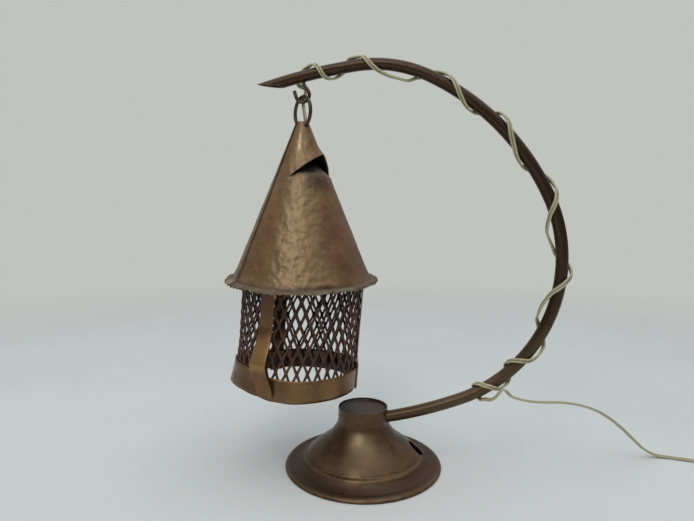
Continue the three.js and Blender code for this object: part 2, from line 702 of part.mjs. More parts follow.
function makeLampholder() {
  const z = (down) => -down;
  const wallAt = roofRadiusAt(bridgeDown) - roofSheet / Math.cos(22 * deg) - gap;
  const rise = 10;
  const lean = (roofFootRadius - roofTopRadius) / (roofFoot - roofTop);
  const endTop = wallAt - rise * lean - 0.4;
  const outline = new THREE.Shape([
    [-wallAt + 0.8, z(bridgeDown)], [wallAt - 0.8, z(bridgeDown)], [endTop, z(bridgeDown - rise)],
    [endTop - bridgeSheet * 1.1, z(bridgeDown - rise)], [wallAt - 3.2, z(bridgeDown - bridgeSheet)],
    [-wallAt + 3.2, z(bridgeDown - bridgeSheet)], [-endTop + bridgeSheet * 1.1, z(bridgeDown - rise)],
    [-endTop, z(bridgeDown - rise)],
  ].map(([x, y]) => new THREE.Vector2(x, y)));
  const flat = new THREE.ExtrudeGeometry(outline, { depth: bridgeWidth, bevelEnabled: false });
  flat.translate(0, 0, -bridgeWidth / 2).rotateX(Math.PI / 2);
  const down = (distance) => new THREE.Vector3(0, 0, z(distance));
  const hole = bar(down(bridgeDown + 6), down(bridgeDown - 6), nippleRadius + gap);
  add('holder_bridge', cut(flat, hole).rotateZ(140 * deg), brass, lantern);

  const tube = (outerRadius, innerRadius, top, bottom, steps = roundSteps) => turned([
    [innerRadius, z(bottom)], [outerRadius, z(bottom)], [outerRadius, z(top)], [innerRadius, z(top)],
  ], steps);
  const underBridge = bridgeDown + gap;
  add('holder_nipple', tube(nippleRadius, nippleBore, bridgeDown - 7, bridgeDown + 9, 24), brass, lantern);
  const nutUnder = bridgeDown - bridgeSheet - gap;
  const nut = bar(down(nutUnder), down(nutUnder - 3.5), 8, 6);
  const nutHole = bar(down(nutUnder + 1), down(nutUnder - 5), nippleRadius + gap);
  add('holder_locknut', cut(nut, nutHole), brass, lantern);
  const bushFoot = bridgeDown - 7 - gap;
  add('cord_bush', tube(nippleRadius + 1, nippleBore, bushFoot - 2.7, bushFoot, 24), fibre, lantern);

  const capBore = nippleRadius + gap;
  const skirt = holderRadius + gap + holderWall;
  const dome = [
    [capBore, 0], [capBore + 2, 0], [capBore + 2.6, 2], [skirt - 4, 5], [skirt - 1, 8.5], [skirt, 13],
    [skirt, 19],
  ];
  const inward = ([r, d]) => [Math.max(r - holderWall, capBore), d + (d < 13 ? holderWall : 0)];
  const capShape = [...dome, ...dome.slice(1).map(inward).reverse(), [capBore, holderWall]];
  add('holder_cap', turned(capShape.map(([r, d]) => [r, z(underBridge + d)]), 22), brass, lantern);
  const shellTop = underBridge + 14;
  const shellEnd = shellTop + holderLength;
  add('holder_shell', tube(holderRadius, holderRadius - holderWall, shellTop, shellEnd), brass, lantern);
  const linerRadius = holderRadius - holderWall - gap;
  add('holder_liner', tube(linerRadius, linerRadius - 0.8, shellTop + 1, shellEnd + 1), fibre, lantern);
  const coreTop = shellTop + 2;
  const coreEnd = coreTop + coreLength;
  const coreRadius = linerRadius - 0.8 - gap;
  add('holder_core', turned([
    [0, z(coreTop)], [coreRadius - 2, z(coreTop)], [coreRadius, z(coreTop + 2)], [coreRadius, z(coreEnd)],
    [0, z(coreEnd)],
  ]), porcelain, lantern);
  const wave = [];
  for (let i = 0; i <= 8; i++) {
    wave.push([threadRadius + 0.35 * Math.cos(i * Math.PI), coreEnd + gap + i * 2.8]);
  }
  const waveInner = wave.map(([r, d]) => [r - 0.7, d]).reverse();
  add('screw_shell', turned([...wave, ...waveInner].map(([r, d]) => [r, z(d)]), 20), brass, lantern);
  add('centre_contact', turned([
    [0, z(coreEnd + gap)], [3, z(coreEnd + gap)], [3, z(coreEnd + 1.4)], [1.6, z(coreEnd + 2.6)],
    [0, z(coreEnd + 3)],
  ], 18), brass, lantern);
  for (const [number, side] of [[1, 1], [2, -1]]) {
    const screw = turned([
      [0, z(coreTop - gap)], [2.6, z(coreTop - gap)], [2.6, z(coreTop - 1.6)], [2, z(coreTop - 2.1)],
      [0, z(coreTop - 2.1)],
    ], 14);
    add(`terminal_screw_${number}`, screw.translate(0, side * 7, 0), brass, lantern);
  }
}

// An eight-sided flat section for free cord
function cordSection(turn = 0) {
  const shape = new THREE.Shape();
  for (let i = 0; i < 8; i++) {
    const a = ((i + 0.5) * Math.PI) / 4;
    const x = (cordWidth / 2) * Math.cos(a) * 1.06;
    const y = (cordThickness / 2) * Math.sin(a) * 1.06;
    const point = [x * Math.cos(turn) - y * Math.sin(turn), x * Math.sin(turn) + y * Math.cos(turn)];
    if (i === 0) shape.moveTo(...point);
    else shape.lineTo(...point);
  }
  return shape;
}

// The section's turn that leaves a swept cord lying flat at its end
function flatAtEnd(curve, steps) {
  const { normals, binormals } = curve.computeFrenetFrames(steps, false);
  return Math.atan2(-normals.at(-1).z, binormals.at(-1).z);
}

// Straight ends, a cord's thickness long
function squareEnds({ points, flatSides }) {
  const lead = (end, next) => new THREE.Vector3().subVectors(end, next).setLength(cordThickness).add(end);
  return {
    points: [lead(points[0], points[1]), ...points, lead(points.at(-1), points.at(-2))],
    flatSides: [flatSides[0], ...flatSides, flatSides.at(-1)],
  };
}

// A wound cord: six sides, each step with its own flat side
function woundCord({ points, flatSides }) {
  const sides = [[0.5, 0], [0.3, 0.5], [-0.3, 0.5], [-0.5, 0], [-0.3, -0.5], [0.3, -0.5]];
  const positions = [];
  const index = [];
  points.forEach((point, i) => {
    const before = points[Math.max(i - 1, 0)];
    const after = points[Math.min(i + 1, points.length - 1)];
    const along = new THREE.Vector3().subVectors(after, before).normalize();
    const out = flatSides[i].clone().addScaledVector(along, -flatSides[i].dot(along)).normalize();
    const across = new THREE.Vector3().crossVectors(along, out);
    for (const [w, t] of sides) {
      const v = point.clone().addScaledVector(across, w * cordWidth).addScaledVector(out, t * cordThickness);
      positions.push(v.x, v.y, v.z);
    }
  });
  const n = sides.length;
  for (let i = 0; i + 1 < points.length; i++) {
    for (let k = 0; k < n; k++) {
      const [a, b] = [i * n + k, i * n + ((k + 1) % n)];
      index.push(a, a + n, b, b, a + n, b + n);
    }
  }
  const last = (points.length - 1) * n;
  for (let k = 1; k + 1 < n; k++) {
    index.push(0, k, k + 1);
    index.push(last, last + k + 1, last + k);
  }
  const geometry = new THREE.BufferGeometry();
  geometry.setAttribute('position', new THREE.Float32BufferAttribute(positions, 3));
  geometry.setIndex(index);
  return geometry;
}

// The least gap between turns, measured on the cord's centre points
function leastGap(points, apart, size) {
  let least = Infinity;
  for (let i = 0; i < points.length; i++) {
    for (let j = i + apart; j < points.length; j++) least = Math.min(least, points[i].distanceTo(points[j]));
  }
  return least - size;
}

// Smooth values between the winding's keys, with no swing past them
function windingAt(turn) {
  const last = wrapKeys.length - 2;
  const k = Math.min(last, Math.max(0, wrapKeys.findIndex((key) => turn <= key[0]) - 1));
  const rise = (i, column) => {
    const [here, next] = [wrapKeys[i], wrapKeys[i + 1]];
    return (next[column] - here[column]) / (next[0] - here[0]);
  };
  const slopeAt = (i, column) => {
    const before = rise(Math.max(i - 1, 0), column);
    const after = rise(Math.min(i, last), column);
    return before * after > 0 ? (2 * before * after) / (before + after) : 0;
  };
  const width = wrapKeys[k + 1][0] - wrapKeys[k][0];
  const t = (turn - wrapKeys[k][0]) / width;
  const [at, out] = [1, 2].map((column) => {
    const [m0, m1] = [slopeAt(k, column) * width, slopeAt(k + 1, column) * width];
    const [p0, p1] = [wrapKeys[k][column], wrapKeys[k + 1][column]];
    return (2 * t ** 3 - 3 * t ** 2 + 1) * p0 + (t ** 3 - 2 * t ** 2 + t) * m0
      + (3 * t ** 2 - 2 * t ** 3) * p1 + (t ** 3 - t ** 2) * m1;
  });
  return { at, out };
}

function windingPath() {
  const points = [];
  const flatSides = [];
  for (let turn = wrapKeys[0][0]; turn <= wrapKeys.at(-1)[0]; turn += 360 / wrapSteps) {
    const { at, out } = windingAt(turn);
    points.push(armSide(at, armRadius + out, turn));
    flatSides.push(armSide(at, armRadius + out, turn).sub(armSide(at, 0, 0)).normalize());
  }
  return squareEnds({ points, flatSides });
}

// The loose run from the last turn to the table and out to the coil
function tailPoints() {
  const [before, start] = windingPath().points.slice(-2);
  const heading = new THREE.Vector3().subVectors(start, before).normalize();
  return [
    start.clone().addScaledVector(heading, gap), start.clone().addScaledVector(heading, cordThickness),
    ...tailRun.map((point) => new THREE.Vector3(...point)),
  ];
}

function coilPath() {
  const points = [];
  const flatSides = [];
  const total = coilTurns * coilSteps;
  const half = coilTurns / 2;
  for (let i = 0; i <= total; i++) {
    const t = i / coilSteps;
    const climb = THREE.MathUtils.smoothstep(t, half - 0.25, half + 0.25);
    const fromMiddle = Math.sqrt((t - half) ** 2 + 0.02);
    const radius = coilRadius - coilPitch * (half - fromMiddle);
    const a = (coilStart - 360 * t) * deg;
    const z = cordThickness / 2 + 0.1 + coilRise * climb;
    points.push(new THREE.Vector3(coilCentre.x + radius * Math.cos(a), coilCentre.y + radius * Math.sin(a), z));
    flatSides.push(new THREE.Vector3(0, 0, 1));
  }
  // The end leaves the coil straight on, and lifts into the plug
  const end = points.at(-1);
  const way = new THREE.Vector3().subVectors(end, points.at(-2)).setZ(0).normalize();
  for (const [run, z] of [[12, 4.6], [22, 3.4], [32, 3.2], [42, 4.4], [50, plugThickness / 2]]) {
    points.push(end.clone().addScaledVector(way, run).setZ(z));
    flatSides.push(new THREE.Vector3(0, 0, 1));
  }
  return squareEnds({ points, flatSides });
}

function makeCord() {
  const winding = windingPath();
  add('cord_winding', woundCord(winding), flex);
  console.log('least gap in the winding', leastGap(winding.points, 12, cordWidth).toFixed(2));
  const coil = coilPath();
  add('cord_coil', woundCord(coil), flex);
  console.log('least gap in the coil', leastGap(coil.points, 12, cordThickness).toFixed(2));

  const first = coil.points[0];
  const heading = new THREE.Vector3().subVectors(coil.points[1], first).normalize();
  const beforeCoil = (run) => first.clone().addScaledVector(heading, -run);
  const tail = [...tailPoints(), beforeCoil(cordWidth), beforeCoil(gap)];
  const tailCurve = new THREE.CatmullRomCurve3(tail);
  const tailSteps = 38;
  add('cord_tail', swept(tailCurve, cordSection(flatAtEnd(tailCurve, tailSteps)), tailSteps), flex);

  // From behind the arm down past the hook, through the ring and into the roof
  const top = winding.points[0];
  const { below } = ringHoles();
  const apex = ringCentre() - below;
  const beside = new THREE.Vector3(0, besideRing, 0).applyAxisAngle(new THREE.Vector3(0, 0, 1), ringTurn * deg);
  const drop = [
    new THREE.Vector3(top.x - 0.4, top.y + 0.2, top.z - 3.4), new THREE.Vector3(hookSeat.x - 0.6, 7.4, 425),
    new THREE.Vector3(hookSeat.x - 1.2, 6, 414),
    new THREE.Vector3(hookSeat.x + beside.x * 0.3, beside.y * 1.3, 401),
    new THREE.Vector3(hookSeat.x + beside.x, beside.y, apex - roofTop + 0.6),
  ];
  const hanging = (points, steps) => {
    const run = new THREE.CatmullRomCurve3(points).getSpacedPoints(steps);
    return woundCord({ points: run, flatSides: run.map(() => beside) });
  };
  add('cord_drop', hanging(drop, 10), flex);
  const inside = [[1, roofTop], [1.15, 2.5], [1.2, 8], [0.8, 22], [0, 44], [0, bridgeDown + 6]].map(
    ([share, down]) => new THREE.Vector3(beside.x * share, beside.y * share, -down),
  );
  add('cord_inner', hanging(inside, 11), flex, lantern);
  makePlug(coil.points);
}

function makePlug(coilPoints) {
  const end = coilPoints.at(-1);
  const way = new THREE.Vector3().subVectors(end, coilPoints.at(-2)).setZ(0).normalize();
  const plug = new THREE.Group();
  const outline = new THREE.Shape();
  const half = plugWidth / 2;
  outline.moveTo(0, -4).lineTo(0, 4).bezierCurveTo(4, 4.5, 5, half, 10, half).lineTo(plugLength, half);
  outline.lineTo(plugLength, -half).lineTo(10, -half).bezierCurveTo(5, -half, 4, -4.5, 0, -4);
  const body = new THREE.ExtrudeGeometry(outline, {
    depth: plugThickness - 2, bevelThickness: 1, bevelSize: 0.8, bevelSegments: 1, curveSegments: 4,
  });
  body.translate(0, 0, 1);
  add('plug_body', body, plastic, plug);
  for (const [number, side] of [[1, 1], [2, -1]]) {
    const blade = new THREE.BoxGeometry(bladeLength, bladeThickness, bladeWidth);
    blade.translate(plugLength + 0.8 + gap + bladeLength / 2, (side * bladeSpacing) / 2, plugThickness / 2);
    add(`plug_blade_${number}`, blade, brass, plug);
  }
  plug.position.set(end.x + way.x * 1.3, end.y + way.y * 1.3, 0);
  plug.rotation.z = Math.atan2(way.y, way.x);
  lamp.add(plug);
}

makeBase();
makeArm();
makeHookAndRing();
makeRoof();
makeSleeve();
makeBand();
makeStraps();
makeLampholder();
makeCord();
lantern.position.set(hookSeat.x, 0, ringCentre() - ringHoles().below);
lantern.rotation.y = lanternLean * deg;
lamp.add(lantern);

export default lamp;
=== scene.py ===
import json
import math
import bmesh
import bpy
from mathutils import Matrix, Vector


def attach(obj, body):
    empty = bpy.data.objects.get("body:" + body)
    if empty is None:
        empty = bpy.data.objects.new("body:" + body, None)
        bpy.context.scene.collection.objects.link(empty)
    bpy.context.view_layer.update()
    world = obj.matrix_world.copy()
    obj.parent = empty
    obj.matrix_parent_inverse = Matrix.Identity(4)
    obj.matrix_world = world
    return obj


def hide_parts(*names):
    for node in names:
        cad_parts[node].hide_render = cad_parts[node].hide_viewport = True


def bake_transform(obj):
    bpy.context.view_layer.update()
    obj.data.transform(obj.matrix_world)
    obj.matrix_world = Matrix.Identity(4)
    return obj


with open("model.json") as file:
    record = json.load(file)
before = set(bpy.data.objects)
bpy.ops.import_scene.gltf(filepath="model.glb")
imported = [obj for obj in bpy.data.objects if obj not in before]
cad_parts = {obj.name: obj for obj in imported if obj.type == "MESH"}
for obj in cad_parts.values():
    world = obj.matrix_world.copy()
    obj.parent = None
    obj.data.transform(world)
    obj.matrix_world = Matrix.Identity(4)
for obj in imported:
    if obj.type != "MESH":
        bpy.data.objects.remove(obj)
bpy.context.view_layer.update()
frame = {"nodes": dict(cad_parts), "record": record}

mm = 0.001
deg = math.pi / 180

# Shared shape of the lamp, in millimetres, as in the part's source
lamp = {
    'armRadius': 6.35, 'armWall': 1.1, 'armStart': (10.5, 53.2, 10.5),
    'armBends': [(104, 12.8), (266, 92.2), (179, 37.5), (82, 32.4), (114.5, 10.3)],
    'hookSeat': (-69.3, 410.7), 'wireRadius': 2, 'ringRadius': 17, 'ringTurn': -44, 'ringClear': 2,
}


def smoothStep(value, low, high):
    t = min(1, max(0, (value - low) / (high - low)))
    return t * t * (3 - 2 * t)


def keyed(turn, keys):
    # smooth values between given keys: (position, value, value, ...)
    if turn <= keys[0][0]:
        return keys[0][1:]
    for before, after in zip(keys, keys[1:]):
        if turn <= after[0]:
            t = smoothStep(turn, before[0], after[0])
            return tuple(a + (b - a) * t for a, b in zip(before[1:], after[1:]))
    return keys[-1][1:]


def armAt(distance):
    x, z, slope = lamp['armStart']
    heading = slope * deg
    left = distance - x / math.cos(heading)
    last = lamp['armBends'][-1]
    for length, turn in lamp['armBends']:
        run = left if (length, turn) == last else min(left, length)
        curl = turn * deg / length
        x += (math.sin(heading + curl * run) - math.sin(heading)) / curl
        z += (math.cos(heading) - math.cos(heading + curl * run)) / curl
        heading += curl * run
        left -= run
        if left <= 0:
            break
    return x, z, heading


armEnd = sum(length for length, turn in lamp['armBends']) + lamp['armStart'][0] / math.cos(lamp['armStart'][2] * deg)


def armSide(distance, out, side):
    # a point beside the arm: side 0 is the outside of the bend, 90 the front
    x, z, heading = armAt(distance)
    reach = out * math.cos(side * deg)
    return Vector((x + reach * math.sin(heading), -out * math.sin(side * deg), z - reach * math.cos(heading)))


def smoothPath(points, step):
    # a smooth curve through the points, with a point about every step
    points = [Vector(p) for p in points]
    ends = [points[0] * 2 - points[1], *points, points[-1] * 2 - points[-2]]
    path = []
    for a, b, c, d in zip(ends, ends[1:], ends[2:], ends[3:]):
        t0 = 0
        t1 = t0 + (b - a).length ** 0.5
        t2 = t1 + (c - b).length ** 0.5
        t3 = t2 + (d - c).length ** 0.5
        count = max(1, round((c - b).length / step))
        for i in range(count):
            t = t1 + (t2 - t1) * i / count
            a1 = a * ((t1 - t) / (t1 - t0)) + b * ((t - t0) / (t1 - t0))
            a2 = b * ((t2 - t) / (t2 - t1)) + c * ((t - t1) / (t2 - t1))
            a3 = c * ((t3 - t) / (t3 - t2)) + d * ((t - t2) / (t3 - t2))
            b1 = a1 * ((t2 - t) / (t2 - t0)) + a2 * ((t - t0) / (t2 - t0))
            b2 = a2 * ((t3 - t) / (t3 - t1)) + a3 * ((t - t1) / (t3 - t1))
            path.append(b1 * ((t2 - t) / (t2 - t1)) + b2 * ((t - t1) / (t2 - t1)))
    return [*path, points[-1]]


# Camera, at the photograph's angle
view = {'place': (0.0906, -0.5630, 0.278), 'way': (-0.190, 0.979, -0.077), 'lens': 26.455}


def makeCamera():
    data = bpy.data.cameras.new('photoCamera')
    data.sensor_fit = 'HORIZONTAL'
    data.sensor_width = 36
    data.lens = view['lens']
    data.clip_start = 0.01
    camera = bpy.data.objects.new('photoCamera', data)
    camera.location = view['place']
    camera.rotation_euler = Vector(view['way']).to_track_quat('-Z', 'Y').to_euler()
    bpy.context.scene.collection.objects.link(camera)
    bpy.context.scene.camera = camera


makeCamera()


class Sock:
    # an output socket that can be used in sums
    def __init__(self, paint, out):
        self.paint = paint
        self.out = out

    def sum(self, operation, *parts):
        return self.paint.add('ShaderNodeMath', {'operation': operation}, dict(enumerate(parts)))

    def __add__(self, other):
        return self.sum('ADD', self, other)

    def __radd__(self, other):
        return self.sum('ADD', other, self)

    def __sub__(self, other):
        return self.sum('SUBTRACT', self, other)

    def __rsub__(self, other):
        return self.sum('SUBTRACT', other, self)

    def __mul__(self, other):
        return self.sum('MULTIPLY', self, other)

    def __rmul__(self, other):
        return self.sum('MULTIPLY', other, self)

    def __truediv__(self, other):
        return self.sum('DIVIDE', self, other)

    def __pow__(self, other):
        return self.sum('POWER', self, other)

    def __abs__(self):
        return self.sum('ABSOLUTE', self)

    def wave(self):
        return self.sum('SINE', self)

    def most(self, other):
        return self.sum('MAXIMUM', self, other)

    def least(self, other):
        return self.sum('MINIMUM', self, other)

    def between(self, low, high):
        return self.paint.add('ShaderNodeMapRange', {'interpolation_type': 'SMOOTHSTEP'},
                              {'Value': self, 'From Min': low, 'From Max': high})


def shade(red, green, blue):
    # a colour as a screen shows it, 0 to 255
    linear = [c / 255 / 12.92 if c < 10.3 else ((c / 255 + 0.055) / 1.055) ** 2.4 for c in (red, green, blue)]
    return (*linear, 1)


class Paint:
    # one material and its nodes
    def __init__(self, name, metallic=0.0, roughness=0.5, **constants):
        self.material = bpy.data.materials.new(name)
        self.material.use_nodes = True
        self.tree = self.material.node_tree
        self.shader = self.tree.nodes['Principled BSDF']
        self.set('Metallic', metallic)
        self.set('Roughness', roughness)
        for socket, value in constants.items():
            self.set(socket.replace('_', ' '), value)

    def add(self, kind, settings=None, sockets=None, out=0):
        node = self.tree.nodes.new(kind)
        for key, value in (settings or {}).items():
            setattr(node, key, value)
        for key, value in (sockets or {}).items():
            self.feed(node.inputs[key], value)
        return Sock(self, node.outputs[out])

    def feed(self, socket, value):
        if isinstance(value, Sock):
            self.tree.links.new(value.out, socket)
        else:
            socket.default_value = value

    def set(self, socket, value):
        self.feed(self.shader.inputs[socket], value)

    def place(self, name='Object'):
        return self.add('ShaderNodeTexCoord', out=name)

    def axis(self, vector, name):
        return self.add('ShaderNodeSeparateXYZ', sockets={'Vector': vector}, out=name)

    def stretch(self, vector, amount):
        return self.add('ShaderNodeVectorMath', {'operation': 'MULTIPLY'}, {0: vector, 1: amount})

    def vector(self, x, y, z):
        return self.add('ShaderNodeCombineXYZ', sockets={'X': x, 'Y': y, 'Z': z})

    def noise(self, vector, scale, detail=3.0, roughness=0.5, distortion=0.0):
        return self.add('ShaderNodeTexNoise', sockets={
            'Vector': vector, 'Scale': scale, 'Detail': detail, 'Roughness': roughness, 'Distortion': distortion})

    def cells(self, vector, scale, smoothness=0.6):
        return self.add('ShaderNodeTexVoronoi', {'feature': 'SMOOTH_F1'}, {
            'Vector': vector, 'Scale': scale, 'Smoothness': smoothness})

    def mix(self, factor, first, second, blend='MIX'):
        return self.add('ShaderNodeMix', {'data_type': 'RGBA', 'blend_type': blend}, {0: factor, 6: first, 7: second}, 2)

    def bump(self, height, distance, strength=1.0, onto=None):
        sockets = {'Height': height, 'Distance': distance, 'Strength': strength}
        if onto is not None:
            sockets['Normal'] = onto
        return self.add('ShaderNodeBump', sockets=sockets)


def agedMetal(name, look):
    # old copper: cloudy patches, dark stains, worn light spots and a fine grain
    paint = Paint(name, metallic=look.get('metallic', 0.85), roughness=look['roughness'],
                  Coat_Weight=look.get('coat', 0.2), Coat_Roughness=0.34)
    place = paint.place()
    x, y, z = (paint.axis(place, letter) for letter in 'XYZ')
    if 'along' in look:
        flow = paint.stretch(paint.place('UV'), look['along'])
    else:
        flow = paint.stretch(place, look.get('stretch', (1, 1, 1)))
    clouds = paint.noise(place, look['cloudScale'], 4, 0.6, 0.4)
    patches = paint.noise(flow, look['patchScale'], 5, 0.62, 0.8)
    fine = paint.noise(place, 520, 3, 0.6)
    grain = paint.noise(place, 1900, 2, 0.5)
    colour = paint.mix(patches.between(0.36, 0.66), look['dark'], look['mid'])
    colour = paint.mix(clouds.between(0.5, 0.72) * look['lightAmount'], colour, look['light'])
    colour = paint.mix(paint.noise(place, look['cloudScale'] * 1.7, 3, 0.5, 1.2).between(0.58, 0.74) * look['redAmount'],
                       colour, look['red'])
    stains = paint.noise(place, look['stainScale'], 5, 0.7, 0.6).between(0.58, 0.7)
    colour = paint.mix(stains * look['stainAmount'], colour, look['stain'])
    specks = paint.noise(place, 330, 2, 0.5).between(0.66, 0.74)
    colour = paint.mix(specks * look.get('speckAmount', 0.35), colour, look['stain'])
    colour = paint.mix(fine.between(0.35, 0.75) * 0.25, colour, look['light'])
    roughness = look['roughness'] + (patches - 0.5) * 0.28 + stains * 0.14 + (fine - 0.5) * 0.16
    height = fine * 0.35 + grain * 0.2 + stains * -0.35
    normal = paint.bump(height, 0.00012)
    parts = {'paint': paint, 'place': place, 'x': x, 'y': y, 'z': z, 'patches': patches, 'clouds': clouds,
             'fine': fine, 'colour': colour, 'roughness': roughness, 'normal': normal}
    for change in look.get('changes', []):
        change(parts)
    paint.set('Base Color', parts['colour'])
    paint.set('Roughness', parts['roughness'])
    paint.set('Normal', parts['normal'])
    return paint.material


def hammeredWithHighlight(parts):
    # soft hammer marks, with a painted highlight in a wide band down the front of the roof, and painted shade on the
    # ridges between the marks there
    paint, place = parts['paint'], parts['place']
    angle, depth = roofPlace(parts)
    bent = paint.noise(place, 60, 2, 0.5)
    wobble = paint.add('ShaderNodeVectorMath', {'operation': 'ADD'}, {
        0: place, 1: paint.stretch(paint.vector(bent, bent, bent), (0.006, 0.006, 0.006))})
    marks = paint.cells(paint.stretch(wobble, (1, 1, 0.9)), 150, 0.9)
    front = (1 - (abs(angle - -1.32) / 0.7).least(1.0)).between(0.0, 0.6)
    height = marks * (0.25 + 0.75 * front) + paint.noise(place, 110, 2, 0.5) * 0.5 + paint.noise(place, 40, 2, 0.5) * 0.7
    parts['normal'] = paint.bump(height, 0.0016, 0.85, parts['normal'])
    # painted highlight: the front band is lightened to a greyish tan
    parts['colour'] = paint.mix(front * 0.4, parts['colour'], shade(132, 118, 86))
    # painted shade: the ridges between hammer marks are darkened inside the highlight band
    ridgeShade = marks.between(0.5, 0.85) * front
    parts['colour'] = paint.mix(ridgeShade * 0.35, parts['colour'], shade(82, 60, 40))


def spun(parts):
    # rings left by spinning, and worn bright lines on the step and the rolled edge
    paint = parts['paint']
    radius = (parts['x'] ** 2 + parts['y'] ** 2) ** 0.5
    rings = paint.noise(paint.vector(radius, parts['z'], 0.0), 900, 3, 0.6)
    wide = paint.noise(paint.vector(radius, parts['z'], 0.0), 160, 2, 0.5)
    parts['normal'] = paint.bump(rings * 0.5 + wide * 0.7, 0.00022, 0.8, parts['normal'])
    parts['colour'] = paint.mix(rings.between(0.45, 0.8) * 0.2, parts['colour'], shade(112, 92, 66))
    parts['roughness'] = parts['roughness'] + (rings - 0.5) * 0.15
    # the flange and the sunk disc are duller and redder than the slope
    flange = radius.between(0.067, 0.0695) * (1 - radius.between(0.084, 0.087))
    disc = (1 - radius.between(0.0262, 0.027)) * parts['z'].between(0.06, 0.062)
    rusty = paint.noise(parts['place'], 24, 4, 0.6, 0.6).between(0.42, 0.62)
    parts['colour'] = paint.mix(flange * 0.6, parts['colour'], shade(52, 36, 25))
    parts['colour'] = paint.mix(flange * rusty * 0.5, parts['colour'], shade(76, 44, 27))
    parts['colour'] = paint.mix(disc * 0.7, parts['colour'], shade(42, 33, 25))
    # a painted highlight: a greyish patch of light on the front of the slope
    facing = (1 - (abs(parts['y'].sum('ARCTAN2', parts['y'], parts['x']) - -1.5) / 0.6).least(1.0)).between(0.0, 0.8)
    slope = (1 - (abs(parts['z'] - 0.036) / 0.018).least(1.0)).between(0.0, 0.8)
    parts['colour'] = paint.mix(facing * slope * 0.5, parts['colour'], shade(130, 114, 82))
    parts['roughness'] = parts['roughness'] + flange * 0.12
    chips = paint.noise(parts['place'], 70, 4, 0.65).between(0.42, 0.6)
    for middle, half, amount, tone in baseWear:
        line = 1 - (abs(radius - middle) / half).least(1.0)
        parts['colour'] = paint.mix(line * chips * amount, parts['colour'], tone)


def onArm(parts):
    # fine lengthwise scratches, lighter, greasy dark patches, and a painted highlight that lightens the lower arm
    paint = parts['paint']
    along = paint.stretch(paint.place('UV'), (220, 1.2, 1))
    scratches = paint.noise(along, 2.2, 3, 0.6)
    parts['colour'] = paint.mix(scratches.between(0.58, 0.74) * 0.3, parts['colour'], shade(106, 90, 70))
    parts['normal'] = paint.bump(scratches, 0.00006, 0.7, parts['normal'])
    # painted highlight over the lower arm
    parts['colour'] = paint.mix((1 - parts['z'].between(0.09, 0.2)) * 0.5, parts['colour'], shade(106, 86, 60))


def roofPlace(parts):
    # the turn round the roof's axis, and how far a point lies inside the plain cone
    across = parts['x'] - -0.0693 + (0.3846 - parts['z']) * 0.0105
    angle = parts['y'].sum('ARCTAN2', parts['y'], across)
    depth = 0.0066 + 0.4069 * (0.3887 - parts['z']) - (across ** 2 + parts['y'] ** 2) ** 0.5
    return angle, depth


def roofMarks(parts):
    # the lapped seam with a pale strip beside it and a painted shadow line along it, a painted highlight streak at the
    # top, painted shade inside
    paint = parts['paint']
    angle, depth = roofPlace(parts)
    line = 1 - (abs(angle - -2.37) / 0.03).least(1.0)
    strip = (1 - (abs(angle - -2.52) / 0.13).least(1.0)).between(0.0, 0.5)
    worn = paint.noise(parts['place'], 60, 4, 0.6).between(0.3, 0.55)
    parts['colour'] = paint.mix(strip * (0.35 + 0.4 * worn), parts['colour'], shade(150, 134, 112))
    # painted shadow: a dark line beside the lapped seam
    parts['colour'] = paint.mix(line * 0.85, parts['colour'], shade(36, 26, 20))
    # painted highlight: a bright streak down the front near the top
    creaseHighlight = (1 - (abs(angle - -1.5) / 0.16).least(1.0)).between(0.0, 0.7)
    creaseHighlight = creaseHighlight * (1 - (abs(parts['z'] - 0.3655) / 0.012).least(1.0)).between(0.0, 0.5)
    parts['colour'] = paint.mix(creaseHighlight * 0.75, parts['colour'], shade(176, 160, 128))
    # painted shade on the inside of the cone
    parts['colour'] = paint.mix(depth.between(0.0006, 0.0036) * 0.95, parts['colour'], shade(16, 13, 12))
    # painted shade on the inner side of the wall that shows through the vent
    shadeThroughVent = (angle - 0.1).between(0.0, 0.08) * parts['z'].between(0.295, 0.3) * (1 - parts['z'].between(0.35, 0.355))
    parts['colour'] = paint.mix(shadeThroughVent * depth.between(0.0004, 0.0008) * 0.95, parts['colour'], shade(14, 11, 10))


def greenRim(parts):
    # the crimped rim: a dark line where it starts, greyish and a little green outside it
    paint = parts['paint']
    angle, depth = roofPlace(parts)
    outside = depth * -1.0
    low = outside.between(0.0016, 0.004) * (1 - parts['z'].between(0.222, 0.226))
    line = 1 - (abs(outside - 0.0018) / 0.0012).least(1.0)
    right = (angle - -1.2).between(0.0, 0.35) * (1 - (angle - -0.7).between(0.0, 0.3))
    spots = paint.noise(parts['place'], 70, 4, 0.6).between(0.45, 0.62)
    parts['colour'] = paint.mix(low * 0.65, parts['colour'], shade(78, 62, 43))
    parts['colour'] = paint.mix(low * spots * (0.25 + 0.55 * right), parts['colour'], shade(112, 122, 98))
    parts['colour'] = paint.mix(line * 0.85 * (1 - parts['z'].between(0.224, 0.228)), parts['colour'], shade(58, 38, 26))
    parts['roughness'] = parts['roughness'] + low * 0.12


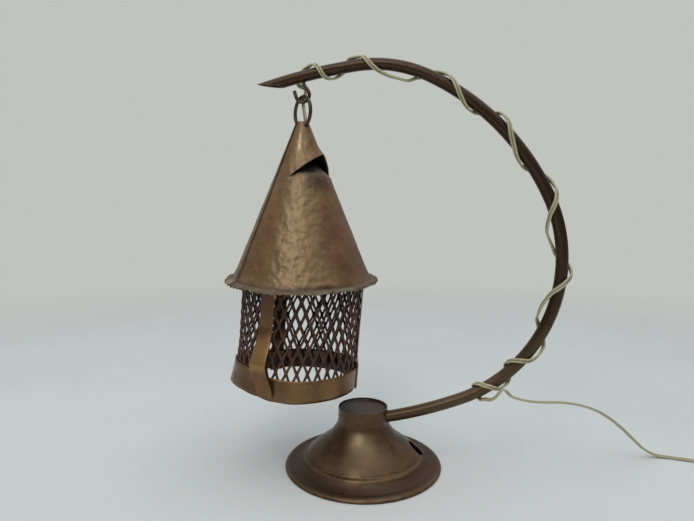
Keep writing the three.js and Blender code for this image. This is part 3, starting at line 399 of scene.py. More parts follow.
def redSide(parts):
    # a reddish patch on the right of the roof, painted shade below the vent's lip, browner sides
    paint = parts['paint']
    angle, depth = roofPlace(parts)
    right = (1 - (abs(angle - -0.62) / 0.55).least(1.0)).between(0.0, 0.8)
    tint = paint.noise(parts['place'], 34, 3, 0.5, 0.8).between(0.4, 0.6)
    middle = 1 - (abs(parts['z'] - 0.262) / 0.03).least(1.0)
    parts['colour'] = paint.mix(right * tint * 0.35, parts['colour'], shade(98, 62, 36))
    parts['colour'] = paint.mix(right * middle * (0.2 + 0.45 * tint), parts['colour'], shade(110, 64, 42))
    # painted shade below the vent's upper lip
    high = (1 - (abs(parts['z'] - 0.326) / 0.024).least(1.0)).between(0.0, 0.7) * (1 - (abs(angle - -0.75) / 0.6).least(1.0)).between(0.0, 0.6)
    parts['colour'] = paint.mix(high * 0.75, parts['colour'], shade(58, 40, 26))


def strapHighlightAndShade(parts):
    # the bent front strap: a painted highlight where it leans outwards, and painted shade, dark and reddish, at its top
    # under the roof
    paint = parts['paint']
    front = 1 - parts['y'].between(-0.05, -0.03)
    lean = (1 - (abs(parts['z'] - 0.142) / 0.022).least(1.0)).between(0.0, 0.5)
    # painted highlight on the outward lean
    parts['colour'] = paint.mix(front * lean * 0.6, parts['colour'], shade(176, 138, 90))
    # painted shade at the top of the strap
    parts['colour'] = paint.mix(front * parts['z'].between(0.165, 0.185) * 0.5, parts['colour'], shade(92, 56, 34))


def meshRoofShade(parts):
    # painted shade: the strands darken towards the roof, with an uneven cloudy edge
    paint = parts['paint']
    roofShade = (parts['z'] + (parts['clouds'] - 0.5) * 0.09).between(0.15, 0.215)
    parts['colour'] = paint.mix(roofShade * 0.65, parts['colour'], shade(36, 25, 20))


def shadedInside(parts):
    # painted shade on the inner sides of sleeve and band; their axis leans a little
    paint = parts['paint']
    across = parts['x'] + (0.08622 - parts['z'] * 0.07687)
    radius = (across ** 2 + parts['y'] ** 2) ** 0.5
    inside = (1 - radius.between(0.0673, 0.0679)).most((1 - radius.between(0.0692, 0.0696)) * (1 - parts['z'].between(0.1, 0.114)))
    parts['colour'] = paint.mix(inside * 0.85, parts['colour'], shade(24, 17, 13))


baseWear = [
    (67.0 * mm, 1.4 * mm, 0.5, shade(120, 98, 66)),
    (62.6 * mm, 2.2 * mm, 0.45, shade(36, 26, 17)),
    (87.6 * mm, 2.4 * mm, 0.5, shade(120, 98, 68)),
    (80.0 * mm, 1.4 * mm, 0.4, shade(38, 28, 20)),
    (28.2 * mm, 0.9 * mm, 0.3, shade(110, 88, 62)),
]
baseLook = {
    'roughness': 0.37, 'cloudScale': 15, 'patchScale': 22, 'stainScale': 44, 'stretch': (1, 1, 1.5), 'metallic': 0.6,
    'coat': 0.1, 'dark': shade(68, 48, 30), 'mid': shade(90, 66, 40), 'light': shade(122, 99, 60), 'red': shade(100, 60, 33),
    'stain': shade(48, 34, 24), 'lightAmount': 0.4, 'redAmount': 0.45, 'stainAmount': 0.3, 'changes': [spun],
}
armLook = {
    'roughness': 0.33, 'cloudScale': 24, 'patchScale': 9, 'stainScale': 60, 'along': (2.0, 1.6, 1), 'metallic': 0.65,
    'coat': 0.06, 'dark': shade(42, 27, 17), 'mid': shade(64, 44, 28), 'light': shade(98, 76, 50), 'red': shade(74, 41, 24),
    'stain': shade(32, 23, 17), 'lightAmount': 0.3, 'redAmount': 0.4, 'stainAmount': 0.4, 'changes': [onArm],
}
roofLook = {
    'roughness': 0.42, 'cloudScale': 13, 'patchScale': 16, 'stainScale': 40, 'stretch': (1, 1, 0.45), 'metallic': 0.5,
    'coat': 0.22, 'dark': shade(102, 70, 35), 'mid': shade(122, 87, 45), 'light': shade(144, 120, 82), 'red': shade(124, 77, 44),
    'stain': shade(84, 62, 42), 'lightAmount': 0.4, 'redAmount': 0.4, 'stainAmount': 0.2, 'speckAmount': 0.2,
    'changes': [hammeredWithHighlight, redSide, greenRim, roofMarks],
}
strapLook = {
    'roughness': 0.34, 'cloudScale': 22, 'patchScale': 34, 'stainScale': 55, 'stretch': (1, 1, 0.5), 'metallic': 0.65,
    'dark': shade(98, 66, 40), 'mid': shade(126, 88, 52), 'light': shade(160, 124, 76), 'red': shade(120, 68, 38),
    'stain': shade(70, 50, 34), 'lightAmount': 0.4, 'redAmount': 0.4, 'stainAmount': 0.25, 'changes': [strapHighlightAndShade],
}
bandLook = {
    **strapLook, 'dark': shade(92, 66, 40), 'mid': shade(122, 88, 52), 'stretch': (1, 1, 0.8), 'patchScale': 24,
    'changes': [shadedInside],
}
meshLook = {
    'roughness': 0.55, 'cloudScale': 20, 'patchScale': 60, 'stainScale': 70, 'metallic': 0.5,
    'dark': shade(66, 38, 23), 'mid': shade(94, 56, 33), 'light': shade(126, 80, 48), 'red': shade(114, 56, 31),
    'stain': shade(40, 27, 20), 'lightAmount': 0.35, 'redAmount': 0.5, 'stainAmount': 0.5, 'changes': [meshRoofShade, shadedInside],
}
wireLook = {
    'roughness': 0.42, 'cloudScale': 60, 'patchScale': 120, 'stainScale': 160, 'metallic': 0.65,
    'dark': shade(54, 38, 28), 'mid': shade(80, 57, 40), 'light': shade(120, 92, 66), 'red': shade(92, 54, 36),
    'stain': shade(38, 28, 22), 'lightAmount': 0.4, 'redAmount': 0.3, 'stainAmount': 0.4,
}
brassLook = {
    'roughness': 0.32, 'cloudScale': 40, 'patchScale': 60, 'stainScale': 90, 'metallic': 1.0,
    'dark': shade(150, 116, 62), 'mid': shade(186, 150, 86), 'light': shade(214, 182, 118), 'red': shade(160, 110, 62),
    'stain': shade(96, 72, 42), 'lightAmount': 0.4, 'redAmount': 0.2, 'stainAmount': 0.3,
}
steelLook = {
    'roughness': 0.42, 'cloudScale': 40, 'patchScale': 60, 'stainScale': 90, 'metallic': 1.0,
    'dark': shade(112, 112, 112), 'mid': shade(142, 142, 142), 'light': shade(172, 172, 172), 'red': shade(122, 112, 104),
    'stain': shade(84, 80, 76), 'lightAmount': 0.4, 'redAmount': 0.2, 'stainAmount': 0.3,
}
ironLook = {
    'roughness': 0.75, 'cloudScale': 40, 'patchScale': 90, 'stainScale': 90, 'metallic': 0.5,
    'dark': shade(48, 46, 46), 'mid': shade(64, 62, 61), 'light': shade(84, 80, 77), 'red': shade(88, 60, 46),
    'stain': shade(36, 34, 34), 'lightAmount': 0.4, 'redAmount': 0.3, 'stainAmount': 0.3,
}


def clearFlex():
    # pale gold clear cord: painted shade in the groove down each flat side, two wires that show through
    paint = Paint('paleGoldFlex', roughness=0.3, Specular_IOR_Level=0.5)
    place = paint.place()
    side = paint.axis(paint.place('UV'), 'X')
    along = paint.axis(paint.place('UV'), 'Y')
    twist = (along * 900 + side * 30).wave() * 0.5 + 0.5
    grooveShade = (side * (4 * math.pi) - 4.423).wave().between(0.35, 0.95)
    core = ((side * (8 * math.pi)).wave() * 0.5 + 0.5) * (0.35 + 0.35 * twist)
    colour = paint.mix(core * 0.5, shade(178, 175, 140), shade(138, 122, 80))
    colour = paint.mix(grooveShade * 0.75, colour, shade(84, 73, 44))
    colour = paint.mix(paint.noise(place, 35, 3, 0.5).between(0.4, 0.7) * 0.25, colour, shade(190, 186, 156))
    dust = paint.noise(place, 400, 3, 0.6).between(0.55, 0.75)
    colour = paint.mix(dust * 0.3, colour, shade(126, 118, 92))
    paint.set('Base Color', colour)
    paint.set('Roughness', 0.26 + 0.2 * paint.noise(place, 160, 3, 0.5))
    paint.set('Normal', paint.bump(paint.noise(place, 300, 2, 0.5) + twist * 0.08, 0.00006))
    return paint.material


def mouldedPlastic():
    paint = Paint('palePlastic', roughness=0.4)
    place = paint.place()
    cloud = paint.noise(place, 90, 3, 0.5)
    paint.set('Base Color', paint.mix(cloud.between(0.35, 0.7), shade(204, 196, 158), shade(218, 211, 178)))
    paint.set('Roughness', 0.34 + 0.16 * paint.noise(place, 700, 2, 0.5))
    paint.set('Normal', paint.bump(paint.noise(place, 1500, 2, 0.5), 0.00004))
    return paint.material


def greenFelt():
    paint = Paint('greenFelt', roughness=0.95, Sheen_Weight=0.4)
    place = paint.place()
    hairs = paint.noise(place, 1400, 4, 0.7, 1.5)
    colour = paint.mix(hairs.between(0.35, 0.65), shade(40, 58, 46), shade(66, 88, 70))
    paint.set('Base Color', paint.mix(paint.noise(place, 50, 3, 0.5).between(0.45, 0.7) * 0.5, colour, shade(78, 80, 64)))
    paint.set('Normal', paint.bump(hairs, 0.0004))
    return paint.material


def brownFibre():
    paint = Paint('brownFibre', roughness=0.85)
    place = paint.place()
    hairs = paint.noise(paint.stretch(place, (1, 1, 0.3)), 900, 4, 0.7)
    paint.set('Base Color', paint.mix(hairs.between(0.35, 0.65), shade(84, 66, 50), shade(112, 90, 68)))
    paint.set('Normal', paint.bump(hairs, 0.0001))
    return paint.material


def whitePorcelain():
    paint = Paint('whitePorcelain', roughness=0.2, Coat_Weight=0.3)
    place = paint.place()
    cloud = paint.noise(place, 120, 3, 0.5)
    paint.set('Base Color', paint.mix(cloud.between(0.4, 0.7), shade(226, 222, 212), shade(238, 236, 228)))
    paint.set('Roughness', 0.16 + 0.14 * paint.noise(place, 300, 2, 0.5))
    paint.set('Normal', paint.bump(paint.noise(place, 200, 2, 0.5), 0.00005))
    return paint.material


finish = {
    'base_copper': agedMetal('baseCopper', baseLook), 'arm_copper': agedMetal('armCopper', armLook),
    'lantern_copper': agedMetal('roofCopper', roofLook), 'strap': agedMetal('strapCopper', strapLook),
    'band': agedMetal('bandCopper', bandLook), 'mesh_copper': agedMetal('meshCopper', meshLook),
    'wire': agedMetal('darkWire', wireLook), 'brass': agedMetal('oldBrass', brassLook),
    'steel': agedMetal('plainSteel', steelLook), 'iron': agedMetal('castIron', ironLook),
    'flex': clearFlex(), 'plug': mouldedPlastic(), 'felt': greenFelt(), 'fibre': brownFibre(),
    'porcelain': whitePorcelain(),
}
print('materials made')


def meshPiece(name, verts, faces, body, metal, nodes=(), uvs=None, sharp=40):
    mesh = bpy.data.meshes.new(name)
    mesh.from_pydata([tuple(c * mm for c in v) for v in verts], [], faces)
    if uvs is not None:
        layer = mesh.uv_layers.new(name='along')
        for loop in mesh.loops:
            layer.data[loop.index].uv = uvs[loop.vertex_index]
    piece = bpy.data.objects.new(name, mesh)
    bpy.context.scene.collection.objects.link(piece)
    tidyMesh(piece, sharp)
    mesh.materials.append(finish[metal])
    if nodes:
        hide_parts(*nodes)
    if body:
        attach(piece, body)
    return piece


def tidyMesh(piece, sharp=40):
    work = bmesh.new()
    work.from_mesh(piece.data)
    bmesh.ops.remove_doubles(work, verts=work.verts, dist=1e-7)
    bmesh.ops.recalc_face_normals(work, faces=work.faces)
    work.to_mesh(piece.data)
    work.free()
    piece.data.shade_smooth()
    piece.data.set_sharp_from_angle(angle=sharp * deg)


def cutAway(piece, *cutters):
    for cutter in cutters:
        change = piece.modifiers.new('cut', 'BOOLEAN')
        change.operation = 'DIFFERENCE'
        change.solver = 'EXACT'
        change.object = cutter
    bpy.context.view_layer.update()
    made = bpy.data.meshes.new_from_object(piece.evaluated_get(bpy.context.evaluated_depsgraph_get()))
    piece.modifiers.clear()
    piece.data = made
    for cutter in cutters:
        bpy.data.objects.remove(cutter)


def rod(start, end, radius, steps=48):
    # a plain round cutter
    work = bmesh.new()
    way = Vector(end) - Vector(start)
    turn = way.to_track_quat('Z', 'Y').to_matrix().to_4x4()
    place = Matrix.Translation((Vector(start) + Vector(end)) / 2 * mm) @ turn
    bmesh.ops.create_cone(work, cap_ends=True, segments=steps, radius1=radius * mm, radius2=radius * mm,
                          depth=way.length * mm, matrix=place)
    mesh = bpy.data.meshes.new('cutter')
    work.to_mesh(mesh)
    work.free()
    cutter = bpy.data.objects.new('cutter', mesh)
    bpy.context.scene.collection.objects.link(cutter)
    return cutter


def rounded(profile, times=2, keep=()):
    # cuts the corners of a closed outline, apart from those named
    for _ in range(times):
        out = []
        for i, point in enumerate(profile):
            before, after = profile[i - 1], profile[(i + 1) % len(profile)]
            if point in keep or point[0] == 0:
                out.append(point)
            else:
                out.append(tuple(p * 0.75 + q * 0.25 for p, q in zip(point, before)))
                out.append(tuple(p * 0.75 + q * 0.25 for p, q in zip(point, after)))
        profile = out
    return profile


def latheShape(profile, steps, place=lambda p: p):
    verts, faces = [], []
    count = len(profile)
    for i in range(steps):
        turn = 2 * math.pi * i / steps
        verts += [place(Vector((r * math.cos(turn), r * math.sin(turn), z))) for r, z in profile]
    for i in range(steps):
        for k in range(count):
            a, b = i * count + k, i * count + (k + 1) % count
            c, d = (i + 1) % steps * count + (k + 1) % count, (i + 1) % steps * count + k
            if not (profile[k][0] == 0 and profile[(k + 1) % count][0] == 0):
                faces.append((a, d, c, b))
    return verts, faces


def sweepShape(path, flats, section, closed=False):
    verts, uvs, faces = [], [], []
    n = len(section)
    run = 0
    for i, point in enumerate(path):
        before = path[i - 1] if i or closed else point
        after = path[(i + 1) % len(path)] if i + 1 < len(path) or closed else point
        along = (after - before).normalized()
        out = (flats[i] - along * flats[i].dot(along)).normalized()
        across = along.cross(out)
        verts += [point + across * w + out * t for w, t in section]
        uvs += [(k / n, run * mm) for k in range(n)]
        if i + 1 < len(path):
            run += (path[i + 1] - point).length
    for i in range(len(path) if closed else len(path) - 1):
        j = (i + 1) % len(path)
        for k in range(n):
            m = (k + 1) % n
            faces.append((i * n + k, j * n + k, j * n + m, i * n + m))
    if not closed:
        faces.append(tuple(range(n)))
        faces.append(tuple((len(path) - 1) * n + k for k in reversed(range(n))))
    return verts, faces, uvs


def circle(radius, steps):
    return [(radius * math.cos(2 * math.pi * k / steps), radius * math.sin(2 * math.pi * k / steps)) for k in range(steps)]


# The flat flex, first, because its room depends on the camera
cord = {
    'width': 5, 'thickness': 2.5,
    # degrees round the arm from its outer side, distance along it, how far out
    'keys': [
        (-112.5, 711, 8.6), (-60, 707, 8.6), (-25, 700, 9.2), (0, 691.5, 10), (60, 683, 8.7), (102, 680, 8.6),
        (135, 678, 8.6), (180, 673.5, 8.9), (205, 668.5, 9.6), (240, 660, 8.7), (335, 648.5, 10), (364, 637, 8.8),
        (440, 628, 8.6), (482, 621.5, 9.2), (515, 613, 10.4), (538, 599, 12.6), (556, 583, 12.8), (592, 572.5, 8.8),
        (675, 559, 8.6), (720, 544.5, 9.2), (770, 534, 8.6), (815, 524, 8.6), (855, 514.5, 8.6), (900, 503.5, 8.6),
        (945, 497, 8.6), (1031, 481.5, 8.7), (1080, 475.5, 9.4), (1120, 465, 10), (1172, 451.5, 8.8), (1220, 435, 9.2),
        (1255, 424, 8.8), (1321, 413, 8.6), (1415, 394, 9.2), (1440, 384, 9.4), (1483, 376, 8.6), (1532, 367, 8.6),
        (1575, 359.5, 9), (1618, 342.5, 12.6), (1661, 319, 8.8), (1767, 303, 9.2), (1800, 296.5, 10), (1855, 288.5, 8.7),
        (1902, 280.5, 8.7), (1948, 271.5, 9.6), (1970, 256, 12.6), (1988, 243, 11.6), (2041, 233.5, 8.8), (2131, 220, 9.8),
        (2156, 215, 10.2), (2180, 207, 10), (2206, 199.5, 8.8), (2254, 193.5, 8.6), (2295, 188, 8.6), (2336, 182, 8.6),
        (2405, 174.5, 8.6), (2491, 168, 9.2), (2516, 163.5, 9.2), (2540, 158.5, 8.8), (2560, 155, 8.6), (2606, 150, 8.6),
        (2650, 143.5, 8.6), (2692, 138, 8.6), (2753, 132.5, 8.6), (2830, 131, 8.6), (2880, 132.5, 8.6),
    ],
    'run': [
        (134.6, -6.6, 86.4), (139.6, -10.8, 87.2), (144.6, -12.6, 90.8), (148.6, -13.2, 96.6), (151.8, -12.8, 100.4), (155.4, -11.8, 98.6),
        (161, -10.6, 92.6), (168.9, -8.6, 89.4), (183, -3, 85.6), (200, 5.5, 82.9), (216, 14, 80.8), (232, 23, 76.9),
        (248, 32.5, 71), (264, 42.5, 62.6), (280, 52.5, 51), (296, 62.5, 36.6), (311, 71, 21.4), (324, 76, 9.3),
        (337, 78, 2.8), (350, 78, 1.5), (364, 76, 1.5), (378, 73.5, 1.5), (394, 71, 1.5),
    ],
    'coilCentre': (414, 36), 'coilRadius': 33, 'coilTurns': 3.25, 'coilSteps': 20, 'coilStart': 84, 'coilPitch': 5.6,
    'coilRise': 3.1, 'coilHeight': 1.35, 'plugRise': 5.5,
}


def flexSection():
    # two round cords side by side, with a groove between them
    lobe = cord['thickness'] / 2
    offset = cord['width'] / 2 - lobe
    points = []
    for middle, first in ((offset, -150), (-offset, 30)):
        for k in range(11):
            a = (first + 30 * k) * deg
            points.append((middle + lobe * math.cos(a), lobe * math.sin(a)))
    return points


def windingPoint(turn):
    # smooth values between the keys, with no swing past them
    keys = cord['keys']
    last = len(keys) - 2
    k = next((i for i in range(last) if turn <= keys[i + 1][0]), last)

    def rise(i, column):
        return (keys[i + 1][column] - keys[i][column]) / (keys[i + 1][0] - keys[i][0])

    def slopeAt(i, column):
        before, after = rise(max(i - 1, 0), column), rise(min(i, last), column)
        return 2 * before * after / (before + after) if before * after > 0 else 0

    width = keys[k + 1][0] - keys[k][0]
    t = (turn - keys[k][0]) / width
    values = []
    for column in (1, 2):
        p0, p1 = keys[k][column], keys[k + 1][column]
        m0, m1 = slopeAt(k, column) * width, slopeAt(k + 1, column) * width
        values.append((2 * t ** 3 - 3 * t ** 2 + 1) * p0 + (t ** 3 - 2 * t ** 2 + t) * m0
                      + (3 * t ** 2 - 2 * t ** 3) * p1 + (t ** 3 - t ** 2) * m1)
    at, out = values
    return armSide(at, out, turn), (armSide(at, out, turn) - armSide(at, 0, 0)).normalized()


def makeCord():
    path, flats = [], []
    turn = cord['keys'][0][0]
    while turn <= cord['keys'][-1][0]:
        point, flat = windingPoint(turn)
        path.append(point)
        flats.append(flat)
        turn += 7.5
    heading = (path[-1] - path[-2]).normalized()
    start = path[-1]
    loose = [start, start + heading * 2.5, *map(Vector, cord['run'])]
    x, y = cord['coilCentre']
    half = cord['coilTurns'] / 2
    coil = []
    for i in range(round(cord['coilTurns'] * cord['coilSteps']) + 1):
        t = i / cord['coilSteps']
        climb = smoothStep(t, half - 0.25, half + 0.25)
        radius = cord['coilRadius'] - cord['coilPitch'] * (half - math.sqrt((t - half) ** 2 + 0.02))
        a = (cord['coilStart'] - 360 * t) * deg
        coil.append(Vector((x + radius * math.cos(a), y + radius * math.sin(a), cord['coilHeight'] + cord['coilRise'] * climb)))
    loosePath = smoothPath([*loose, coil[0]], 4)
    way = (coil[-1] - coil[-2])
    way.z = 0
    way.normalize()
    end = coil[-1]
    leadOut = []
    for run, z in ((12, 4.6), (22, 3.4), (32, 3.2), (42, 4.4), (50, cord['plugRise']), (54, cord['plugRise'])):
        point = end + way * run
        point.z = z
        leadOut.append(point)
    endPath = smoothPath([end, *leadOut], 4)[1:]
    firstFlat = flats[-1]
    for i, point in enumerate(loosePath[1:]):
        t = smoothStep(i / len(loosePath), 0.1, 0.75)
        path.append(point)
        flats.append(firstFlat.lerp(Vector((0, 0, -1)), t))
    path += coil[1:] + endPath
    flats += [Vector((0, 0, -1))] * (len(coil) - 1 + len(endPath))
    length = sum((b - a).length for a, b in zip(path, path[1:])) * mm
    verts, faces, uvs = sweepShape(path, flats, flexSection())
    piece = meshPiece('cordOnArmAndTable', verts, faces, 'stand', 'flex',
                      ('cord_winding', 'cord_tail', 'cord_coil'), uvs, 60)
    return piece, path, length, end + way * 54, way


cordPiece, cordPath, cordLength, plugAt, plugWay = makeCord()
print('cord length', round(cordLength, 3))

plug = {
    'sections': [(0, 3.6, 2.2), (2.5, 4.0, 2.8), (6, 4.6, 3.2), (9, 7.6, 4.0), (12, 10.2, 4.9), (16, 11.2, 5.3),
                 (24, 11.4, 5.4), (28.5, 11.2, 5.3), (30.4, 10.5, 4.8), (30.8, 9.4, 4.2)],
    'bladeSpacing': 12.7, 'bladeStart': 31.1, 'bladeLength': 17, 'bladeWidth': 6.3, 'bladeThickness': 1.5,
}


def makePlug():
    turn = Matrix.Rotation(math.atan2(plugWay.y, plugWay.x), 4, 'Z')
    origin = Vector((plugAt.x, plugAt.y, 5.5))

    def place(x, y, z):
        return origin + turn @ Vector((x, y, z))

    verts, faces = [], []
    steps = 40
    for x, halfWidth, halfThickness in plug['sections']:
        for k in range(steps):
            a = 2 * math.pi * k / steps
            c, s = math.cos(a), math.sin(a)
            verts.append(place(x, halfWidth * math.copysign(abs(c) ** 0.45, c), halfThickness * math.copysign(abs(s) ** 0.5, s)))
    rings = len(plug['sections'])
    for i in range(rings - 1):
        for k in range(steps):
            m = (k + 1) % steps
            faces.append((i * steps + k, i * steps + m, (i + 1) * steps + m, (i + 1) * steps + k))
    faces.append(tuple(range(steps)))
    faces.append(tuple((rings - 1) * steps + k for k in range(steps)))
    body = meshPiece('plugBody', verts, faces, 'stand', 'plug', ('plug_body',), None, 60)
    pieces = [body]
    for number, side in ((1, 1), (2, -1)):
        x0, x1 = plug['bladeStart'], plug['bladeStart'] + plug['bladeLength']
        w, t = plug['bladeWidth'] / 2, plug['bladeThickness'] / 2
        outline = [(x0, -w), (x1 - 3, -w), (x1 - 0.6, -w + 1.2), (x1, -w + 2.2), (x1, w - 2.2), (x1 - 0.6, w - 1.2),
                   (x1 - 3, w), (x0, w)]
        y = side * plug['bladeSpacing'] / 2
        bladeVerts = [place(px, y - t, pz) for px, pz in outline] + [place(px, y + t, pz) for px, pz in outline]
        n = len(outline)
        bladeFaces = [tuple(range(n)), tuple(reversed(range(n, 2 * n)))]
        bladeFaces += [(k, n + k, n + (k + 1) % n, (k + 1) % n) for k in range(n)]
        blade = meshPiece('plugBlade' + str(number), bladeVerts, bladeFaces, 'stand', 'brass',
                          ('plug_blade_' + str(number),))
        cutAway(blade, rod(place(x1 - 4.5, y - 3, 0), place(x1 - 4.5, y + 3, 0), 1.5, 24))
        pieces.append(blade)
    return pieces


plugPieces = makePlug()
tuple(cordPath[0] * mm)
[tuple(p * mm) for p in cordPath]

# Heights in the lantern are measured down from the two holes that the ring passes through
roof = {
    'top': -4.1, 'topRadius': 6.6, 'foot': 169.9, 'footRadius': 77.4, 'flare': 1.6, 'flareHeight': 12, 'skew': 4.2,
    'skewTurn': -79, 'sheet': 1, 'rimRadius': 86.8, 'scallops': 72, 'columns': 576, 'lean': 0.6, 'seamAt': 224,
    'seamStep': 1.3,
    # out, down and how much it is crimped, from the foot to the edge
    'rim': [(0.5, 0.7, 0.0), (1.4, 1.5, 0.1), (2.8, 2.2, 0.35), (4.4, 2.9, 0.7), (6.0, 3.8, 1.0), (7.2, 5.0, 1.2), (7.6, 5.9, 1.2)],
}
vent = {'start': -103, 'peak': 0, 'end': 38, 'low': 59.2, 'lip': 3.2, 'dent': 19, 'foldAt': 57}
sleeve = {
    'radius': 68.3, 'sheet': 0.9, 'top': 160.3, 'bottom': 295.3, 'meshTop': 162.9, 'meshBottom': 291.2, 'columns': 38,
    'start': 1.2, 'tiers': 9, 'halfWide': 3.9, 'halfTall': 9.2, 'lean': 3.8, 'shift': 2, 'tab': 7, 'tilt': 0.8, 'bulge': 0.3,
    'edgeSteps': 4,
}
band = {
    'top': 272.3, 'height': 24, 'sheet': 1,
    # turn, top out, bottom out, lift
    'keys': [(128, 0, 0, 0), (160, 0.6, 2.2, 4), (190, 1.3, 5.2, 10.5), (212, 1.5, 6, 11.5), (232, 1.5, 5.2, 10.5),
             (250, 1.3, 3.6, 7), (266, 0.9, 2.2, 3), (284, 0.4, 0.8, 0.4), (300, 0, 0, 0)],
}
straps = {'width': 16, 'sheet': 1.2, 'turns': {'front': 255, 'right': 8, 'back': 128}, 'twist': 5}


def roofRadius(down):
    return roof['topRadius'] + (roof['footRadius'] - roof['topRadius']) * (down - roof['top']) / (roof['foot'] - roof['top'])


seatX, seatZ = lamp['hookSeat']
ringCentre = seatZ + 2 * lamp['wireRadius'] + lamp['ringClear'] - lamp['ringRadius']
lanternZ = ringCentre - math.sqrt(lamp['ringRadius'] ** 2 - (roofRadius(0) - roof['sheet'] / 2) ** 2)
ringWay = Vector((math.cos(lamp['ringTurn'] * deg), math.sin(lamp['ringTurn'] * deg), 0))
beside = Vector((-ringWay.y, ringWay.x, 0)) * 3.9
lanternTurn = Matrix.Rotation(roof['lean'] * deg, 3, 'Y')


def onLantern(point):
    return Vector((seatX, 0, lanternZ)) + lanternTurn @ Vector(point)


def roofPoint(radius, turn, down):
    return onLantern((radius * math.cos(turn * deg), radius * math.sin(turn * deg), -down))


def sleevePoint(radius, turn, down):
    onSleeve = min(1, max(0, (down - sleeve['top'] + sleeve['tab']) / sleeve['tab']))
    shift = sleeve['shift'] * onSleeve - max(0, down - sleeve['top']) * math.tan(sleeve['lean'] * deg)
    return onLantern((radius * math.cos(turn * deg) + shift, radius * math.sin(turn * deg), -down))


def makeDrop():
    # the cord from the arm, past hook and ring, into the roof: two pieces that meet beside the ring
    top = cordPath[0]
    inside = [onLantern((beside.x * share, beside.y * share, -down)) for share, down in (
        (1, -4.1), (1.15, 2.5), (1.2, 8), (0.8, 22), (0.1, 44), (0, 66), (0, 93))]
    points = [top + Vector((0.9, 0.3, 3.0)), top + Vector((-0.4, 0.2, -1.5)), Vector((seatX + 1.8, 7.2, 426)),
              Vector((seatX - 1.2, 6, 414)), Vector((seatX + beside.x * 0.3, beside.y * 1.3, 401)), *inside]
    path = smoothPath(points, 1.5)
    split = min(range(len(path)), key=lambda i: abs(path[i].z - 398))
    section = flexSection()
    for name, part, nodes, bodies, ends in (
        ('cordDropUpper', path[:split + 1], ('cord_drop',), ('stand', 'ring'), (427, 402)),
        ('cordDropLower', path[split:], ('cord_inner',), ('ring', 'lantern'), (397, 386)),
    ):
        flats = [beside.normalized()] * len(part)
        verts, faces, uvs = sweepShape(part, flats, section)
        piece = meshPiece(name, verts, faces, None, 'flex', nodes, uvs, 60)
        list(bodies)
        ends[0] * mm
        ends[1] * mm
        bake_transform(piece)
        length = sum((b - a).length for a, b in zip(part, part[1:])) * mm
        tuple(part[0] * mm)
        [tuple(p * mm) for p in part]


makeDrop()
print('cords made')

# The base: outside from the foot to the neck's rim, then back down the inside
base = {
    'outside': [(88.6, 0), (89, 0.8), (88.6, 2.0), (87.6, 3.0), (86, 3.9), (84, 4.5), (82, 4.6), (80.6, 4.3), (79.4, 3.9),
                (78, 4.2), (74, 5.8), (71.5, 7.4), (69.5, 9), (68.4, 10.4), (67.6, 11.7), (66.4, 12.6), (65.2, 12.9),
                (64.2, 13.2), (63.2, 14.2), (62.3, 15.5), (60.4, 17.4), (58, 19.8), (54, 22.9), (49, 26.8), (44.5, 29.9),
                (40, 33.5), (36.7, 36.8), (34, 40.5), (32.4, 42.7), (31, 45), (30, 46.9), (29.3, 48.6), (28.6, 51.5),
                (28.25, 55), (28.1, 61), (28, 66.2), (27.9, 67)],
    'inside': [(27.0, 67), (26.8, 66.2), (26.8, 52), (28.2, 47.6), (32.8, 40.6), (39.0, 33.4), (57.0, 19.9), (61.4, 15.6),
               (63.4, 13.0), (65.8, 11.4), (68.6, 8.2), (73.4, 4.6), (78.6, 2.8), (82, 3.2), (84.4, 3.2), (87.0, 1.4),
               (87, 0.75), (80.5, 0.75), (80.5, 0)],
    'switchTurn': 13, 'switchRadius': 11.4, 'switchSeat': (61.7, 16.3), 'switchSlope': (0.645, 0.764),
}


def makeBase():
    profile = rounded([*base['outside'], *base['inside']], 1, keep=[(80.5, 0), (80.5, 0.75), (27.9, 67), (27.0, 67)])
    verts, faces = latheShape(profile, 216)
    shell = meshPiece('baseShell', verts, faces, 'stand', 'base_copper', ('base_shell',), None, 35)
    turn = Matrix.Rotation(base['switchTurn'] * deg, 3, 'Z')
    slope = turn @ Vector((base['switchSlope'][0], 0, base['switchSlope'][1]))
    seat = turn @ Vector((base['switchSeat'][0], 0, base['switchSeat'][1]))
    armHole = rod(armSide(lamp['armStart'][0] - 2, 0, 0), armSide(48, 0, 0), lamp['armRadius'] + 1.1, 64)
    cutAway(shell, armHole, rod(seat - slope * 10.8, seat + slope * 10.8, base['switchRadius'], 72))
    tidyMesh(shell, 35)

    capTop = 64.2
    cap = [(0, capTop - 1.2), (24.9, capTop - 1.2), (26.5, capTop + 0.4), (26.5, capTop + 1.9), (25.6, capTop + 1.9),
           (25.5, capTop + 0.9), (24.4, capTop + 0.1), (23, capTop), (12, capTop - 0.15), (0, capTop - 0.2)]
    verts, faces = latheShape(rounded(cap, 1), 128)
    meshPiece('neckCap', verts, faces, 'stand', 'base_copper', ('neck_cap',))
    verts, faces = latheShape(rounded([(0, 0), (79.9, 0), (79.9, 1.2), (0, 1.2)], 1), 128)
    meshPiece('baseFelt', verts, faces, 'stand', 'felt', ('base_felt',))


makeBase()
print('base made')


